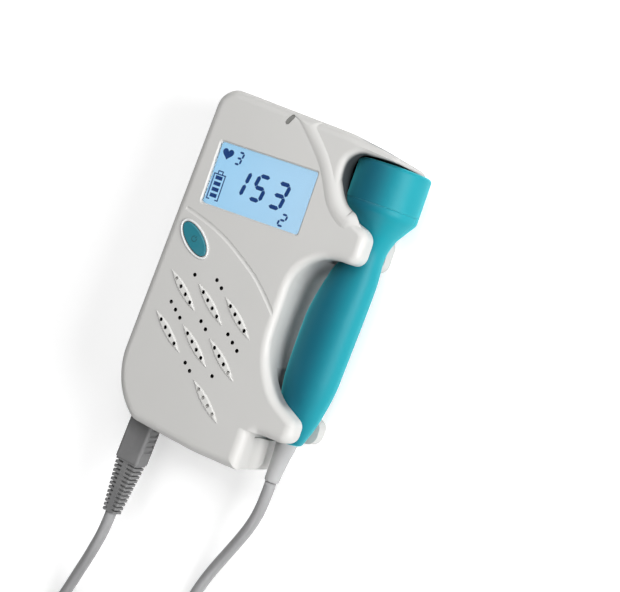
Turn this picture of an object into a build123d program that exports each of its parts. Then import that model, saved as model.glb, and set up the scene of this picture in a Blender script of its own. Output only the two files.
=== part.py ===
from build123d import *
import math
import os

# Hand-held fetal doppler with a docked ultrasound probe.
# Millimetres. The housing lies on its back: z = 0 is the back face, +Z leaves the display,
# +Y runs from the lead end to the top, and the origin is the middle of the back face.

# ---------------------------------------------------------------- housing
DEPTH = 35.0              # back face to front face
WALL = 2.2                # both shells
PART_LINE = DEPTH / 2     # where the shells meet
EDGE_ROUND = 3.8          # front and back edges
CORNER_TOP = 8.5          # top left corner, seen from the front
CORNER_SMALL = 4.6        # right-hand corners, a little over the edge round
LEFT_TOP = -41.8
LEFT_LOW = -46.3
TOP_LEFT = 71.8
TOP_MID = 68.2
EAR_TIP_X = 43.2
EAR_TIP_Y = 63.3
RIGHT_LOW = 37.0
BOTTOM = -71.2
LOW_FINGER = -54.5        # underside of the lower finger
NOTCH_X = 22.0            # housing's right side beside the sleeve
HEEL_TOP = -43.0          # where the lower left corner starts to curve
RIM_ROUND = 3.2           # rims of the dock, front and back
SCOOP_LIP = 19.2          # left wall of the scooped corner beside the sleeve
SCOOP_LOW = 15.2          # floor of that scoop
SCOOP_SWEEP = 8.0
SCOOP_RIM = 4.0
REACH = 200.0             # longer than the whole part, for cutting planes
ROOM_LEFT = -43.0         # sides of the room inside the shells
ROOM_RIGHT = 23.0
ROOM_TALL = 160.0         # taller than the housing

# ---------------------------------------------------------------- dock for the probe
HEAD_X = 35.0             # axis of the probe's head
AXIS_Z = PART_LINE        # every probe section is centred on the parting line
HEAD_R = 15.0
HEAD_FACE_Y = 61.3
EAR_INNER = 61.8
HEAD_BITE_R = 20.8        # wall of the head's recess
HEAD_BITE_LEFT = 21.4
FINGER_TOP = 34.0
FINGER_LOW = 19.7
FINGER_X = 39.9           # tip of the upper finger
FINGER_TIP_R = 4.5
HEAD_BITE_TURN = 250      # degrees, where the head recess's arc runs into the upper finger
GRIP_BITE_TURN = 228      # degrees, where the handle recess's low arc ends
HEAD_CLEAR_Y = 50.0       # middle of the head's pocket
HEAD_CLEAR_TALL = 30.0
TIP_R = 4.0               # tip of the lower finger
TIP_EXIT = -49.6          # below this the tip follows the housing's outline
BEND_R = 20.0             # where the handle's recess bends towards that tip
GRIP_BITE_X = 15.1        # left wall of the handle's recess
GRIP_TOP_R = 16.6
GRIP_LOW_R = 34.4
GRIP_LOW_Y = -14.0
TIP_RIM = (37.2, -45.2)   # where the lower finger's rim meets its tip
DOCK_GAP = 0.9            # air between probe and housing
NECK_R = 7.5
PASSAGE_HALF = 8.5        # half height of the gap between front and back fingers
PASSAGE_LEFT = 18.2       # left wall of the tail's passage
TAIL_WAY_TOP = -28.0
NECK_WAY_LEFT = 23.6      # left wall of the neck's passage

# ---------------------------------------------------------------- display
WINDOW_X = -10.9
WINDOW_Y = 36.75
WINDOW_W = 45.3
WINDOW_H = 25.5
WINDOW_SINK = 0.5
WINDOW_BEVEL = 0.6        # sloped edge round the window
FLANGE = 2.0
LENS_T = 1.3
PANEL_T = 1.8
GUIDE_T = 3.0
FRAME_WALL = 1.0
FIT = 0.15                # slip clearance between parts that are put together

# ---------------------------------------------------------------- board and cells
BOARD_Z = PART_LINE + 2.1 # underside of the main board
BOARD_T = 1.6
BOARD_TOP = BOARD_Z + BOARD_T
CELL_R = 7.25             # AA cells
CELL_L = 50.5
CELL_NUB_L = 1.5
CELL_NUB_R = 2.7
CELL_PITCH = 15.2
CELL_X = -21.0            # between the two cells
CELL_Y = -19.2            # middle of the cells' length
SPRING_L = 4.0
CONTACT_T = 0.8
TRAY_WALL = 1.5
TRAY_ROOF = 0.75
COVER_T = 1.9
COVER_SINK = 0.3          # cover's outer face above the floor
COVER_W = 32.0
COVER_TONGUE = 1.1        # each side, in the shell's grooves
COVER_PAST = 3.65         # cover's reach past the upper contact
COVER_TOP = CELL_Y + CELL_L / 2 + CONTACT_T + COVER_PAST
THUMB_GROOVES = 6         # across the cover
THUMB_TOP = 4.0
THUMB_PITCH = 2.6
THUMB_HALF_L = 9.0
THUMB_HALF_W = 0.6
COVER_LIP = 1.2           # height of the outer step of the cover
SLIDE_FIT = 0.15

# ---------------------------------------------------------------- speaker
SPEAKER_X = -14.2
SPEAKER_Y = -22.0
SPEAKER_R = 18.0
SPEAKER_T = 3.6
MAGNET_R = 9.5
MAGNET_T = 4.4
CONE_CAP_R = 5.0
GASKET_T = 0.8
GRILLE_R = 21.5           # holes beyond this are blind dimples
HOLE_R = 0.85
HOLE_PITCH = 3.9
LEAF_L = 20.5
LEAF_W = 3.6
LEAF_RISE = 0.5
LEAF_ANGLE = -38.0
LEAF_START = (-27.9, -12.2)
LEAF_STEP = (13.6, -1.4)
LEAF_ROW = (-0.7, -17.7)

# ---------------------------------------------------------------- lines on the front face
RIDGE_R = 7.0             # round of the raised line beside the display
RIDGE_RISE = 0.45
GROOVE_R = 1.6            # round of the sunk line under the display
GROOVE_DEEP = 0.3

# ---------------------------------------------------------------- power button
BUTTON_X = -30.7
BUTTON_Y = 8.8
BUTTON_A = 8.3
BUTTON_B = 3.6
BUTTON_ANGLE = -37.5
BUTTON_GAP = 0.25
BUTTON_PROUD = 0.4
BUTTON_TRAVEL = 0.8
BUTTON_RIM = 1.3
RIM_RISE = 0.25

# ---------------------------------------------------------------- switch under the button
SWITCH_W = 6.2
SWITCH_H = 3.6
PLUNGER_R = 1.6
PLUNGER_GAP = 0.08
BUTTON_FLANGE = 1.1
FLANGE_GAP = 0.1

# ---------------------------------------------------------------- top wall
WHEEL_X = -24.0
WHEEL_Y = 62.4
WHEEL_R = 8.0
WHEEL_T = 3.4
WHEEL_Z = BOARD_TOP + 2.0
WHEEL_GAP = 0.3
SHAFT_R = 1.5
SHAFT_GAP = 0.03
SCOOP_R = 9.0
SCOOP_DEEP = 1.7
PHONE_X = -1.5
PHONE_BORE_R = 1.8
PHONE_DEPTH = 12.0
PHONE_NOSE_R = 3.0
CHARGER_X = 7.0
CHARGER_BORE_R = 2.8
CHARGER_DEPTH = 9.5
CHARGER_PIN_R = 0.95
CHARGER_NOSE_R = 3.9
JACK_Z = BOARD_TOP + 4.0
JACK_SINK = 0.3           # jack faces below the top wall

# ---------------------------------------------------------------- plug and its socket
PLUG_X = -32.3
PLUG_Z = PART_LINE + 2.5
PLUG_TILT = -2.8          # the plug leans a little to the left
PLUG_W = 11.6
PLUG_T = 9.2
PLUG_SEAT = -61.5         # flat that the plug's boot comes up to
SEAT_GAP = 0.3
SEAT_ROOM = 0.8
NOSE_W = 8.6
NOSE_T = 5.6
NOSE_L = 7.5
NOSE_GAP = 0.2
SOCKET_WALL = 1.2
PIN_R = 0.5
PIN_L = 2.6
PIN_PITCH = 2.0
BOOT_L = 25.2
RELIEF_L = 23.0
RELIEF_W = 6.4            # relief's size at the lead
RELIEF_T = 6.2
SLOT_ROWS = 12
SLOT_PITCH = 1.85
SLOT_T = 0.85
SLOT_DEEP = 1.1
SPINE = 2.3

# ---------------------------------------------------------------- probe
CAP_Y = 45.0              # seam between head cap and handle
CAP_WALL = 1.8
FACE_T = 1.4
DISC_R = 10.5
DISC_T = 1.2
SHELL_T = 1.8
TAIL_Y = -55.4
SLEEVE_END = -72.5
SLEEVE_TOP_R = 4.3
SLEEVE_END_R = 3.0
SLEEVE_X = 29.4
LEAD_X = 28.3

# ---------------------------------------------------------------- cord
CORD_D = 4.8
COIL_X = -24.0
COIL_Y = -191.0
COIL_MID_R = 28.0
COIL_COLUMNS = 3
COIL_LAYERS = 2


def block(x0, x1, y0, y1, z0, z1):
    """A box between two corners."""
    return Pos((x0 + x1) / 2, (y0 + y1) / 2, (z0 + z1) / 2) * Box(x1 - x0, y1 - y0, z1 - z0)


def rod(x, y, z0, z1, radius):
    """An upright cylinder."""
    return Pos(x, y, (z0 + z1) / 2) * Cylinder(radius, z1 - z0)


def along_y(x, z, y0, y1, radius):
    """A cylinder lying along Y."""
    return Pos(x, (y0 + y1) / 2, z) * Rot(90, 0, 0) * Cylinder(radius, y1 - y0)


def prism(face, z0, z1):
    """A flat face drawn at z = 0, carried from z0 to z1."""
    return Pos(0, 0, z0) * extrude(face, amount=z1 - z0)


def closed(*edges):
    """A face inside a closed run of edges."""
    return make_face(Wire(list(edges)))


def top_edge(x):
    """Height of the straight part of the top edge over x."""
    run = EAR_TIP_X - 20.0
    if x > 20.0:
        return TOP_MID + (EAR_TIP_Y - TOP_MID) * (x - 20.0) / run
    return TOP_LEFT + (TOP_MID - TOP_LEFT) * (x - LEFT_TOP) / (20.0 - LEFT_TOP)


def outer_face():
    """The housing's front outline before the dock is cut into its right side."""
    heel_end = (-32.5, BOTTOM + 2.6)
    heel = ThreePointArc((LEFT_LOW, HEEL_TOP), (-42.0, -58.5), heel_end)
    face = closed(
        Line((LEFT_LOW, HEEL_TOP), (LEFT_TOP, TOP_LEFT)),
        Line((LEFT_TOP, TOP_LEFT), (20.0, TOP_MID)),
        Line((20.0, TOP_MID), (EAR_TIP_X, EAR_TIP_Y)),
        Line((EAR_TIP_X, EAR_TIP_Y), (RIGHT_LOW, LOW_FINGER)),
        Line((RIGHT_LOW, LOW_FINGER), (NOTCH_X, LOW_FINGER)),
        Line((NOTCH_X, LOW_FINGER), (NOTCH_X, BOTTOM)),
        Line((NOTCH_X, BOTTOM), (-2.0, BOTTOM)),
        Line((-2.0, BOTTOM), heel_end),
        heel,
    )
    corners = face.vertices()
    top_left = corners.sort_by_distance((LEFT_TOP, TOP_LEFT, 0))[0]
    face = fillet(top_left, CORNER_TOP)
    for x, y in ((EAR_TIP_X, EAR_TIP_Y), (RIGHT_LOW, LOW_FINGER), (NOTCH_X, BOTTOM)):
        corner = face.vertices().sort_by_distance((x, y, 0))[0]
        face = fillet(corner, CORNER_SMALL)
    inner = face.vertices().sort_by_distance((NOTCH_X, LOW_FINGER, 0))[0]
    face = fillet(inner, 2.0)
    soft_corners = ((20.0, TOP_MID, 40.0), (heel_end[0], heel_end[1], 8.0), (-2.0, BOTTOM, 60.0))
    for x, y, radius in soft_corners:
        corner = face.vertices().sort_by_distance((x, y, 0))[0]
        face = fillet(corner, radius)
    return face


def head_bite(grow=0.0):
    """The rim of the head's recess, open to the right."""
    r = HEAD_BITE_R + grow
    centre_x = HEAD_BITE_LEFT + HEAD_BITE_R
    centre_y = FINGER_TOP + HEAD_BITE_R
    top = EAR_INNER + grow
    corner_r = top - centre_y
    left = centre_x - r
    start = (left + corner_r, top)
    slack = (1 - math.sqrt(0.5)) * corner_r
    dip = math.sqrt(0.5) * r
    middle = (FINGER_TOP + FINGER_LOW) / 2 - 0.1
    end_angle = math.radians(HEAD_BITE_TURN)
    arc_end = (centre_x + r * math.cos(end_angle), centre_y + r * math.sin(end_angle))
    finger_x = FINGER_X - grow
    corner = (finger_x, arc_end[1] - (finger_x - arc_end[0]) / math.tan(end_angle))
    face = closed(
        Line((REACH, top), start),
        ThreePointArc(start, (left + slack, top - slack), (left, centre_y)),
        ThreePointArc((left, centre_y), (centre_x - dip, centre_y - dip), arc_end),
        Line(arc_end, corner),
        Line(corner, (finger_x, middle)),
        Line((finger_x, middle), (REACH, middle)),
        Line((REACH, middle), (REACH, top)),
    )
    if grow > 0:
        return face
    return round_corner(face, corner, FINGER_TIP_R)


def round_corner(face, corner, radius):
    """Rounds one corner of a flat face."""
    vertex = face.vertices().sort_by_distance((corner[0], corner[1], 0))[0]
    return fillet(vertex, radius)


def grip_bite(grow=0.0):
    """The rim of the handle's recess, open to the right."""
    left = GRIP_BITE_X - grow
    r = GRIP_TOP_R + grow
    top_centre = (left + r, FINGER_LOW - GRIP_TOP_R)
    half = math.sqrt(0.5) * r
    low = GRIP_LOW_R + grow
    low_centre = (left + low, GRIP_LOW_Y)
    end_angle = math.radians(GRIP_BITE_TURN)
    mid_angle = math.radians((180 + GRIP_BITE_TURN) / 2)
    low_mid = (low_centre[0] + low * math.cos(mid_angle), low_centre[1] + low * math.sin(mid_angle))
    low_end = (low_centre[0] + low * math.cos(end_angle), low_centre[1] + low * math.sin(end_angle))
    tip = (TIP_RIM[0], TIP_RIM[1] - grow)
    high = top_centre[1] + r
    middle = (FINGER_TOP + FINGER_LOW) / 2 + 0.1
    finger_x = FINGER_X - grow
    face = closed(
        Line((REACH, middle), (finger_x, middle)),
        Line((finger_x, middle), (finger_x, high)),
        Line((finger_x, high), (top_centre[0], high)),
        ThreePointArc((top_centre[0], high), (top_centre[0] - half, top_centre[1] + half), (left, top_centre[1])),
        Line((left, top_centre[1]), (left, GRIP_LOW_Y)),
        ThreePointArc((left, GRIP_LOW_Y), low_mid, low_end),
        Line(low_end, tip),
        Line(tip, (tip[0], TIP_EXIT)),
        Line((tip[0], TIP_EXIT), (REACH, TIP_EXIT)),
        Line((REACH, TIP_EXIT), (REACH, middle)),
    )
    if grow > 0:
        return face
    face = round_corner(face, (finger_x, high), FINGER_TIP_R)
    face = round_corner(face, low_end, BEND_R)
    return round_corner(face, tip, TIP_R)


def soft_cut(face):
    """A recess through the whole depth, flared so that it leaves rounded rims on front and back."""
    half = prism(face, PART_LINE, DEPTH) + block(-REACH, REACH, -REACH, REACH, DEPTH, DEPTH + WALL)
    edges = half.edges().filter_by_position(Axis.Z, DEPTH, DEPTH)
    rim = edges.filter_by(lambda edge: max(abs((edge @ 0.5).X), abs((edge @ 0.5).Y)) < REACH - 1)
    half = fillet(rim, RIM_ROUND)
    return half + mirror(half, about=Plane.XY.offset(PART_LINE))


def head_profile(grow=0.0):
    """Half section of the probe's head: cylinder, rounded shoulder and flare down to the neck."""
    r = HEAD_R + grow
    neck = NECK_R + grow
    return closed(
        Line((0, HEAD_FACE_Y + grow), (r, HEAD_FACE_Y + grow)),
        Line((r, HEAD_FACE_Y + grow), (r, 43.5)),
        ThreePointArc((r, 43.5), (r - 0.8, 40.6), (r - 2.6, 38.4)),
        Line((r - 2.6, 38.4), (neck + 1.6, 32.8)),
        ThreePointArc((neck + 1.6, 32.8), (neck + 0.4, 30.4), (neck, 27.5)),
        Line((neck, 27.5), (neck, 25.5)),
        Line((neck, 25.5), (0, 25.5)),
        Line((0, 25.5), (0, HEAD_FACE_Y + grow)),
    )


def head_solid(grow=0.0):
    """The head and neck turned about the head's axis."""
    turned = revolve(head_profile(grow), Axis.Y)
    return Pos(HEAD_X, 0, AXIS_Z) * turned


def grip_solid(shrink=0.0):
    """The handle: ellipses along Y from the neck through the belly to the tail."""
    sections = (
        (25.5, HEAD_X, NECK_R, NECK_R),
        (14.0, 33.2, 10.0, 8.5),
        (-6.0, 31.0, 11.6, 9.4),
        (-27.0, 30.5, 11.3, 9.2),
        (-43.0, 30.4, 8.9, 7.8),
        (TAIL_Y, 29.6, 5.6, 5.6),
    )
    faces = []
    for y, x, a, b in sections:
        faces.append(Pos(x, y, AXIS_Z) * Rot(90, 0, 0) * make_face(Ellipse(a - shrink, b - shrink).edges()))
    return loft(faces)


def dock():
    """Everything the probe needs on its way in: two recesses, the fingers' gap and the head's pocket."""
    gap = PASSAGE_HALF
    neck_way = block(NECK_WAY_LEFT, REACH, FINGER_LOW - 3, FINGER_TOP + 3, AXIS_Z - gap, AXIS_Z + gap)
    tail_way = block(PASSAGE_LEFT, REACH, LOW_FINGER - 3, TAIL_WAY_TOP, AXIS_Z - gap, AXIS_Z + gap)
    pocket = head_solid(DOCK_GAP)
    return [soft_cut(head_bite()), soft_cut(grip_bite()), neck_way, tail_way, pocket, *side_ways()]


def side_ways():
    """The head's silhouette carried out to the right: its front half and its back half."""
    ways = []
    for turn in (-90, 90):
        face = Pos(HEAD_X, 0, AXIS_Z) * Rot(0, turn, 0) * head_profile(DOCK_GAP)
        ways.append(extrude(face, amount=HEAD_R * 2, dir=(1, 0, 0)))
    return ways


def notch():
    """The scooped corner beside the sleeve: a wall that sweeps out to the right on its way down."""
    lip = SCOOP_LIP
    low = SCOOP_LOW
    sweep_end = low + SCOOP_SWEEP
    corner = (1 - math.sqrt(0.5)) * SCOOP_SWEEP
    rim = (1 - math.sqrt(0.5)) * SCOOP_RIM
    high = DEPTH + WALL
    profile = closed(
        Line((lip - SCOOP_RIM, high), (lip - SCOOP_RIM, DEPTH)),
        ThreePointArc((lip - SCOOP_RIM, DEPTH), (lip - rim, DEPTH - rim), (lip, DEPTH - SCOOP_RIM)),
        Line((lip, DEPTH - SCOOP_RIM), (lip, sweep_end)),
        ThreePointArc((lip, sweep_end), (lip + corner, low + corner), (lip + SCOOP_SWEEP, low)),
        Line((lip + SCOOP_SWEEP, low), (REACH, low)),
        Line((REACH, low), (REACH, high)),
        Line((REACH, high), (lip - SCOOP_RIM, high)),
    )
    return Pos(0, LOW_FINGER, 0) * Rot(90, 0, 0) * extrude(profile, amount=LOW_FINGER - BOTTOM + 10)


def housing_block():
    """The whole housing as one solid with rounded edges and the dock cut out, not yet hollow."""
    solid = rounded_block()
    for cut in dock():
        solid -= cut
    solid -= notch()
    return solid


def inner_face():
    """Outline of the room inside the shells."""
    face = offset(outer_face(), amount=-WALL)
    face -= head_bite(RIM_ROUND + 3.0)
    face -= grip_bite(RIM_ROUND)
    keep = Pos((ROOM_LEFT + ROOM_RIGHT) / 2, 0) * Rectangle(ROOM_RIGHT - ROOM_LEFT, ROOM_TALL)
    face = face & keep
    tail_wall = Pos(PASSAGE_LEFT - WALL + 20, LOW_FINGER + 14) * Rectangle(40, 34)
    face -= tail_wall
    scoop = Pos(SCOOP_LIP - WALL + 20, BOTTOM) * Rectangle(40, 34)
    return face - scoop


def lens_face(length, width):
    """A pointed oval made of two arcs."""
    half_l = length / 2
    half_w = width / 2
    return closed(
        ThreePointArc((-half_l, 0), (0, half_w), (half_l, 0)),
        ThreePointArc((half_l, 0), (0, -half_w), (-half_l, 0)),
    )


def leaf_centres():
    """Centres of the seven raised leaves, on a slanted lattice."""
    places = []
    for column, row in ((0, 0), (1, 0), (2, 0), (0, 1), (1, 1), (2, 1), (2, 2)):
        x = LEAF_START[0] + column * LEAF_STEP[0] + row * LEAF_ROW[0]
        y = LEAF_START[1] + column * LEAF_STEP[1] + row * LEAF_ROW[1]
        places.append((x, y))
    return places


def grille_points():
    """Centres of all sound holes: four on each leaf and short runs between the leaves."""
    dx = HOLE_PITCH * math.cos(math.radians(LEAF_ANGLE))
    dy = HOLE_PITCH * math.sin(math.radians(LEAF_ANGLE))
    points = []
    for x, y in leaf_centres():
        points += [(x + (k - 1.5) * dx, y + (k - 1.5) * dy) for k in range(4)]
    runs = (
        (-25.3, -4.7, 1), (-15.0, -3.6, 2), (-31.6, -18.2, 3), (-15.8, -21.2, 2),
        (-2.5, -22.2, 3), (-16.5, -39.0, 2), (-3.1, -40.0, 1),
    )
    for x, y, count in runs:
        points += [(x + k * dx, y + k * dy) for k in range(count)]
    return points


def leaves():
    """The raised leaves on the front face."""
    shape = lens_face(LEAF_L, LEAF_W)
    solids = []
    for x, y in leaf_centres():
        leaf = extrude(shape, amount=LEAF_RISE + 0.5)
        top = leaf.edges().group_by(Axis.Z)[-1]
        leaf = chamfer(top, LEAF_RISE * 0.6, LEAF_RISE * 1.2)
        solids.append(Pos(x, y, DEPTH - 0.5) * Rot(0, 0, LEAF_ANGLE) * leaf)
    return solids


def button_face(grow=0.0):
    """The power button's slanted oval."""
    oval = make_face(Ellipse(BUTTON_A + grow, BUTTON_B + grow).edges())
    return Pos(BUTTON_X, BUTTON_Y) * Rot(0, 0, BUTTON_ANGLE) * oval


def crease(points, radius, centre_z):
    """A round bar along a smooth line, used to raise or sink a soft line in the front face."""
    path = Spline(*[(x, y, centre_z) for x, y in points])
    start = Plane(origin=path @ 0, z_dir=path % 0)
    return sweep(start * Circle(radius), path=path)


def window_face(grow):
    """The outline of the display opening."""
    return Pos(WINDOW_X, WINDOW_Y) * RectangleRounded(WINDOW_W + 2 * grow, WINDOW_H + 2 * grow, 1.2)


def window_plate(grow, z0, z1):
    """A plate with the outline of the display opening."""
    return prism(window_face(grow), z0, z1)


def window_bevel():
    """The sloped edge round the display opening, as a plate that widens upwards."""
    low = Pos(0, 0, DEPTH - WINDOW_BEVEL) * window_face(FIT)
    high = Pos(0, 0, DEPTH + WINDOW_BEVEL) * window_face(FIT + 2 * WINDOW_BEVEL)
    return loft([low, high])


BOSSES = ((-36.8, 57.5), (13.6, 57.0), (-40.6, -36.0), (6.0, -63.5))
BOSS_R = 2.6
SCREW_R = 1.2
SCREW_HEAD_R = 2.1
SCREW_SEAT = 4.0          # floor of the screw wells
SCREW_TOP = PART_LINE + 8.0


INDICATOR = (-7.4, 66.0)
INDICATOR_TURN = 62.0
STATUS_LIGHT = (-7.4, 64.2)


def indicator_face(grow=0.0):
    """The slim slot for the status light near the top edge."""
    slot = SlotOverall(4.6 + 2 * grow, 1.8 + 2 * grow)
    return Pos(*INDICATOR) * Rot(0, 0, INDICATOR_TURN) * slot


def wheel_slot():
    """The room that the volume wheel turns in."""
    return rod(WHEEL_X, WHEEL_Y, WHEEL_Z - 0.4, WHEEL_Z + WHEEL_T + 0.4, WHEEL_R + 0.4)


def at_plug(shape):
    """Carries a shape drawn round the plug's seat, lead end towards -Y, to its place."""
    return Pos(PLUG_X, PLUG_SEAT, PLUG_Z) * Rot(0, 0, PLUG_TILT) * shape


def plug_well():
    """The wall round the recess that takes the plug's boot."""
    half_w = PLUG_W / 2 + SEAT_ROOM + WALL
    half_t = PLUG_T / 2 + SEAT_ROOM + WALL
    return at_plug(block(-half_w, half_w, -15, WALL, -half_t, half_t)) & boss_room()


def shells():
    """Front and back shell as plain halves, with screw bosses and the plug's well."""
    solid = housing_block()
    room = prism(inner_face(), WALL, DEPTH - WALL)
    room -= prism(head_clear(), WALL, DEPTH - WALL)
    solid -= room
    for x, y in BOSSES:
        solid += rod(x, y, WALL - 0.5, DEPTH - WALL + 0.5, BOSS_R) & boss_room()
    solid += plug_well()
    front = solid & block(-80, 80, -100, 100, PART_LINE, DEPTH + 5)
    back = solid & block(-80, 80, -100, 100, -5, PART_LINE)
    return front, back


def boss_room():
    """The space that bosses and wells may fill, up to the middle of the walls."""
    return prism(offset(outer_face(), amount=-WALL / 2), 0, DEPTH)


def head_clear():
    """No room is left where the head's pocket comes through to the left of its rim."""
    width = HEAD_R + DOCK_GAP + WALL
    return Pos(HEAD_X, HEAD_CLEAR_Y) * Rectangle(2 * width, HEAD_CLEAR_TALL)


def front_shell(solid):
    """Display opening, button hole, sound holes, status slot, speaker ring and the raised lines."""
    for leaf in leaves():
        solid += leaf
    ridge_line = ((-4.0, 70.5), (1.0, 66.0), (7.5, 59.8), (13.5, 53.2), (17.5, 47.0), (21.4, 40.6), (25.2, 36.8), (29.6, 34.4))
    ridge = crease(ridge_line, RIDGE_R, DEPTH + RIDGE_RISE - RIDGE_R)
    skin = block(-REACH, REACH, -REACH, REACH, DEPTH - 0.8 * WALL, DEPTH + WALL)
    solid += ridge & skin & (Pos(0, 0, RIDGE_RISE) * rounded_block())
    groove_line = ((-39.0, 19.6), (-29.0, 17.2), (-18.5, 13.5), (-8.5, 8.3), (1.5, 2.0), (9.0, -4.5), (14.2, -9.5))
    solid -= crease(groove_line, GROOVE_R, DEPTH + GROOVE_R - GROOVE_DEEP)
    solid += prism(button_face(BUTTON_RIM) - button_face(BUTTON_GAP), DEPTH - 0.2, DEPTH + RIM_RISE)
    solid -= prism(button_face(BUTTON_GAP), DEPTH - 5, DEPTH + 2)
    solid -= window_plate(FIT, DEPTH - 5, DEPTH + 2)
    solid -= window_bevel()
    solid -= prism(indicator_face(FIT), DEPTH - 5, DEPTH + 2)
    for x, y in grille_points():
        through = math.hypot(x - SPEAKER_X, y - SPEAKER_Y) < GRILLE_R
        bottom = DEPTH - WALL - 1 if through else DEPTH - 0.7
        solid -= rod(x, y, bottom, DEPTH + 2, HOLE_R)
    ring_low = DEPTH - WALL - GASKET_T - SPEAKER_T + 0.4
    ring = rod(SPEAKER_X, SPEAKER_Y, ring_low, DEPTH - WALL + 0.2, SPEAKER_R + FIT + 1.4)
    ring -= rod(SPEAKER_X, SPEAKER_Y, 0, DEPTH, SPEAKER_R + FIT)
    solid += ring & prism(inner_face(), 0, DEPTH)
    for x, y in BOSSES:
        solid -= rod(x, y, PART_LINE - 1, PART_LINE + 9, SCREW_R)
    return cut_walls(solid)


def cut_walls(solid):
    """Openings that both shells share: wheel slot, sockets in the top wall and the plug's seat."""
    solid -= wheel_slot()
    solid -= thumb_scoop()
    solid -= along_y(PHONE_X, JACK_Z, 55, 80, PHONE_NOSE_R + FIT)
    solid -= along_y(CHARGER_X, JACK_Z, 55, 80, CHARGER_NOSE_R + FIT)
    half_w = PLUG_W / 2 + SEAT_ROOM
    half_t = PLUG_T / 2 + SEAT_ROOM
    solid -= at_plug(block(-half_w - 6, half_w, -30, 0, -half_t, half_t))
    socket_w = NOSE_W / 2 + NOSE_GAP + SOCKET_WALL + FIT
    socket_t = NOSE_T / 2 + NOSE_GAP + SOCKET_WALL + FIT
    solid -= at_plug(block(-socket_w, socket_w, -1, 12, -socket_t, socket_t))
    return solid


def thumb_scoop():
    """A shallow hollow round the wheel's slot, so that a thumb reaches the rim."""
    centre_y = top_edge(WHEEL_X) + SCOOP_R - SCOOP_DEEP
    return Pos(WHEEL_X, centre_y, WHEEL_Z + WHEEL_T / 2) * Sphere(SCOOP_R)


CELL_Z = COVER_SINK + COVER_T + 0.1 + CELL_R
TRAY_TOP = CELL_Z + CELL_R + 0.2
TRAY_LOW_Y = CELL_Y - CELL_L / 2 - SPRING_L - CONTACT_T - 0.1
TRAY_HIGH_Y = CELL_Y + CELL_L / 2 + CONTACT_T + 0.2
POSTS = ((-38.0, 40.0), (10.0, 44.0), (8.0, -30.0), (10.2, 10.0))


def back_shell(solid):
    """Cell tray, cover opening with its grooves, board posts and screw holes."""
    x0 = CELL_X - CELL_PITCH
    x1 = CELL_X + CELL_PITCH
    deep = COVER_W / 2 + COVER_TONGUE
    skirt = deep + 1.3
    low_y = TRAY_LOW_Y - TRAY_WALL
    high_y = TRAY_HIGH_Y + TRAY_WALL
    tray = block(x0 - TRAY_WALL, x1 + TRAY_WALL, low_y, high_y, WALL - 0.5, TRAY_TOP + TRAY_ROOF)
    tray += block(CELL_X - skirt, CELL_X + skirt, low_y, COVER_TOP + 1.3, WALL - 0.5, WALL + 1.6)
    solid += tray & boss_room()
    solid -= block(x0, x1, TRAY_LOW_Y, TRAY_HIGH_Y, 0, TRAY_TOP)
    half = COVER_W / 2
    groove = COVER_SINK + COVER_LIP - SLIDE_FIT
    solid -= block(CELL_X - half, CELL_X + half, -90, COVER_TOP, -1, WALL)
    solid -= block(CELL_X - deep, CELL_X + deep, -90, COVER_TOP, groove, WALL + 0.15)
    for x, y in POSTS:
        solid += block(x - 1.5, x + 1.5, y - 1.5, y + 1.5, WALL - 0.5, BOARD_Z)
    for x, y in BOSSES:
        solid -= rod(x, y, SCREW_SEAT - 0.5, PART_LINE + 1, SCREW_R + FIT)
        solid -= rod(x, y, -1, SCREW_SEAT, SCREW_HEAD_R + 0.2)
    return cut_walls(solid)


def battery_cover():
    """The cell door: an outer plate and a wider inner tongue that runs in the shell's grooves."""
    half = COVER_W / 2 - SLIDE_FIT
    deep = half + COVER_TONGUE
    top = COVER_TOP - SLIDE_FIT
    step = COVER_SINK + COVER_LIP
    inner = COVER_SINK + COVER_T - 0.1
    plate = block(CELL_X - half, CELL_X + half, -90, top, COVER_SINK, inner)
    plate += block(CELL_X - deep, CELL_X + deep, -90, top, step, inner)
    plate = plate & rounded_block()
    for k in range(THUMB_GROOVES):
        y = THUMB_TOP - THUMB_PITCH * k
        low_y, high_y = y - THUMB_HALF_W, y + THUMB_HALF_W
        plate -= block(CELL_X - THUMB_HALF_L, CELL_X + THUMB_HALF_L, low_y, high_y, 0, COVER_SINK + 0.5)
    return plate


def rounded_block():
    """The housing with its rounded edges before the dock is cut."""
    solid = prism(outer_face(), 0, DEPTH)
    rims = solid.edges().group_by(Axis.Z)
    return fillet(rims[0] + rims[-1], EDGE_ROUND)


LENS_LOW = DEPTH - WALL - LENS_T
PANEL_TOP = LENS_LOW - 0.3
GUIDE_TOP = PANEL_TOP - PANEL_T
GUIDE_LOW = GUIDE_TOP - GUIDE_T
PANEL_EDGE = 1.2          # panel beyond the window, each side


def display_window():
    """Clear window: a flange behind the wall and a raised pane that fills the opening."""
    return window_plate(FLANGE, LENS_LOW, DEPTH - WALL) + window_plate(0, LENS_LOW, DEPTH - WINDOW_SINK)


def lcd_panel():
    """The display glass."""
    return window_plate(PANEL_EDGE, GUIDE_TOP, PANEL_TOP)


def backlight_guide():
    """The light guide behind the display glass."""
    return window_plate(PANEL_EDGE, GUIDE_LOW, GUIDE_TOP)


def lcd_frame():
    """The holder that stands on the board and carries light guide and glass."""
    frame = window_plate(PANEL_EDGE + FIT + FRAME_WALL, BOARD_TOP, PANEL_TOP)
    frame -= window_plate(-1.0, BOARD_TOP - 1, GUIDE_LOW + 1)
    return frame - window_plate(PANEL_EDGE + FIT, GUIDE_LOW, PANEL_TOP + 1)


BOARD_LEFT = -39.3
BOARD_RIGHT = 11.9
BOARD_LOW = -50.4
BOARD_HIGH = 66.0


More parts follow.
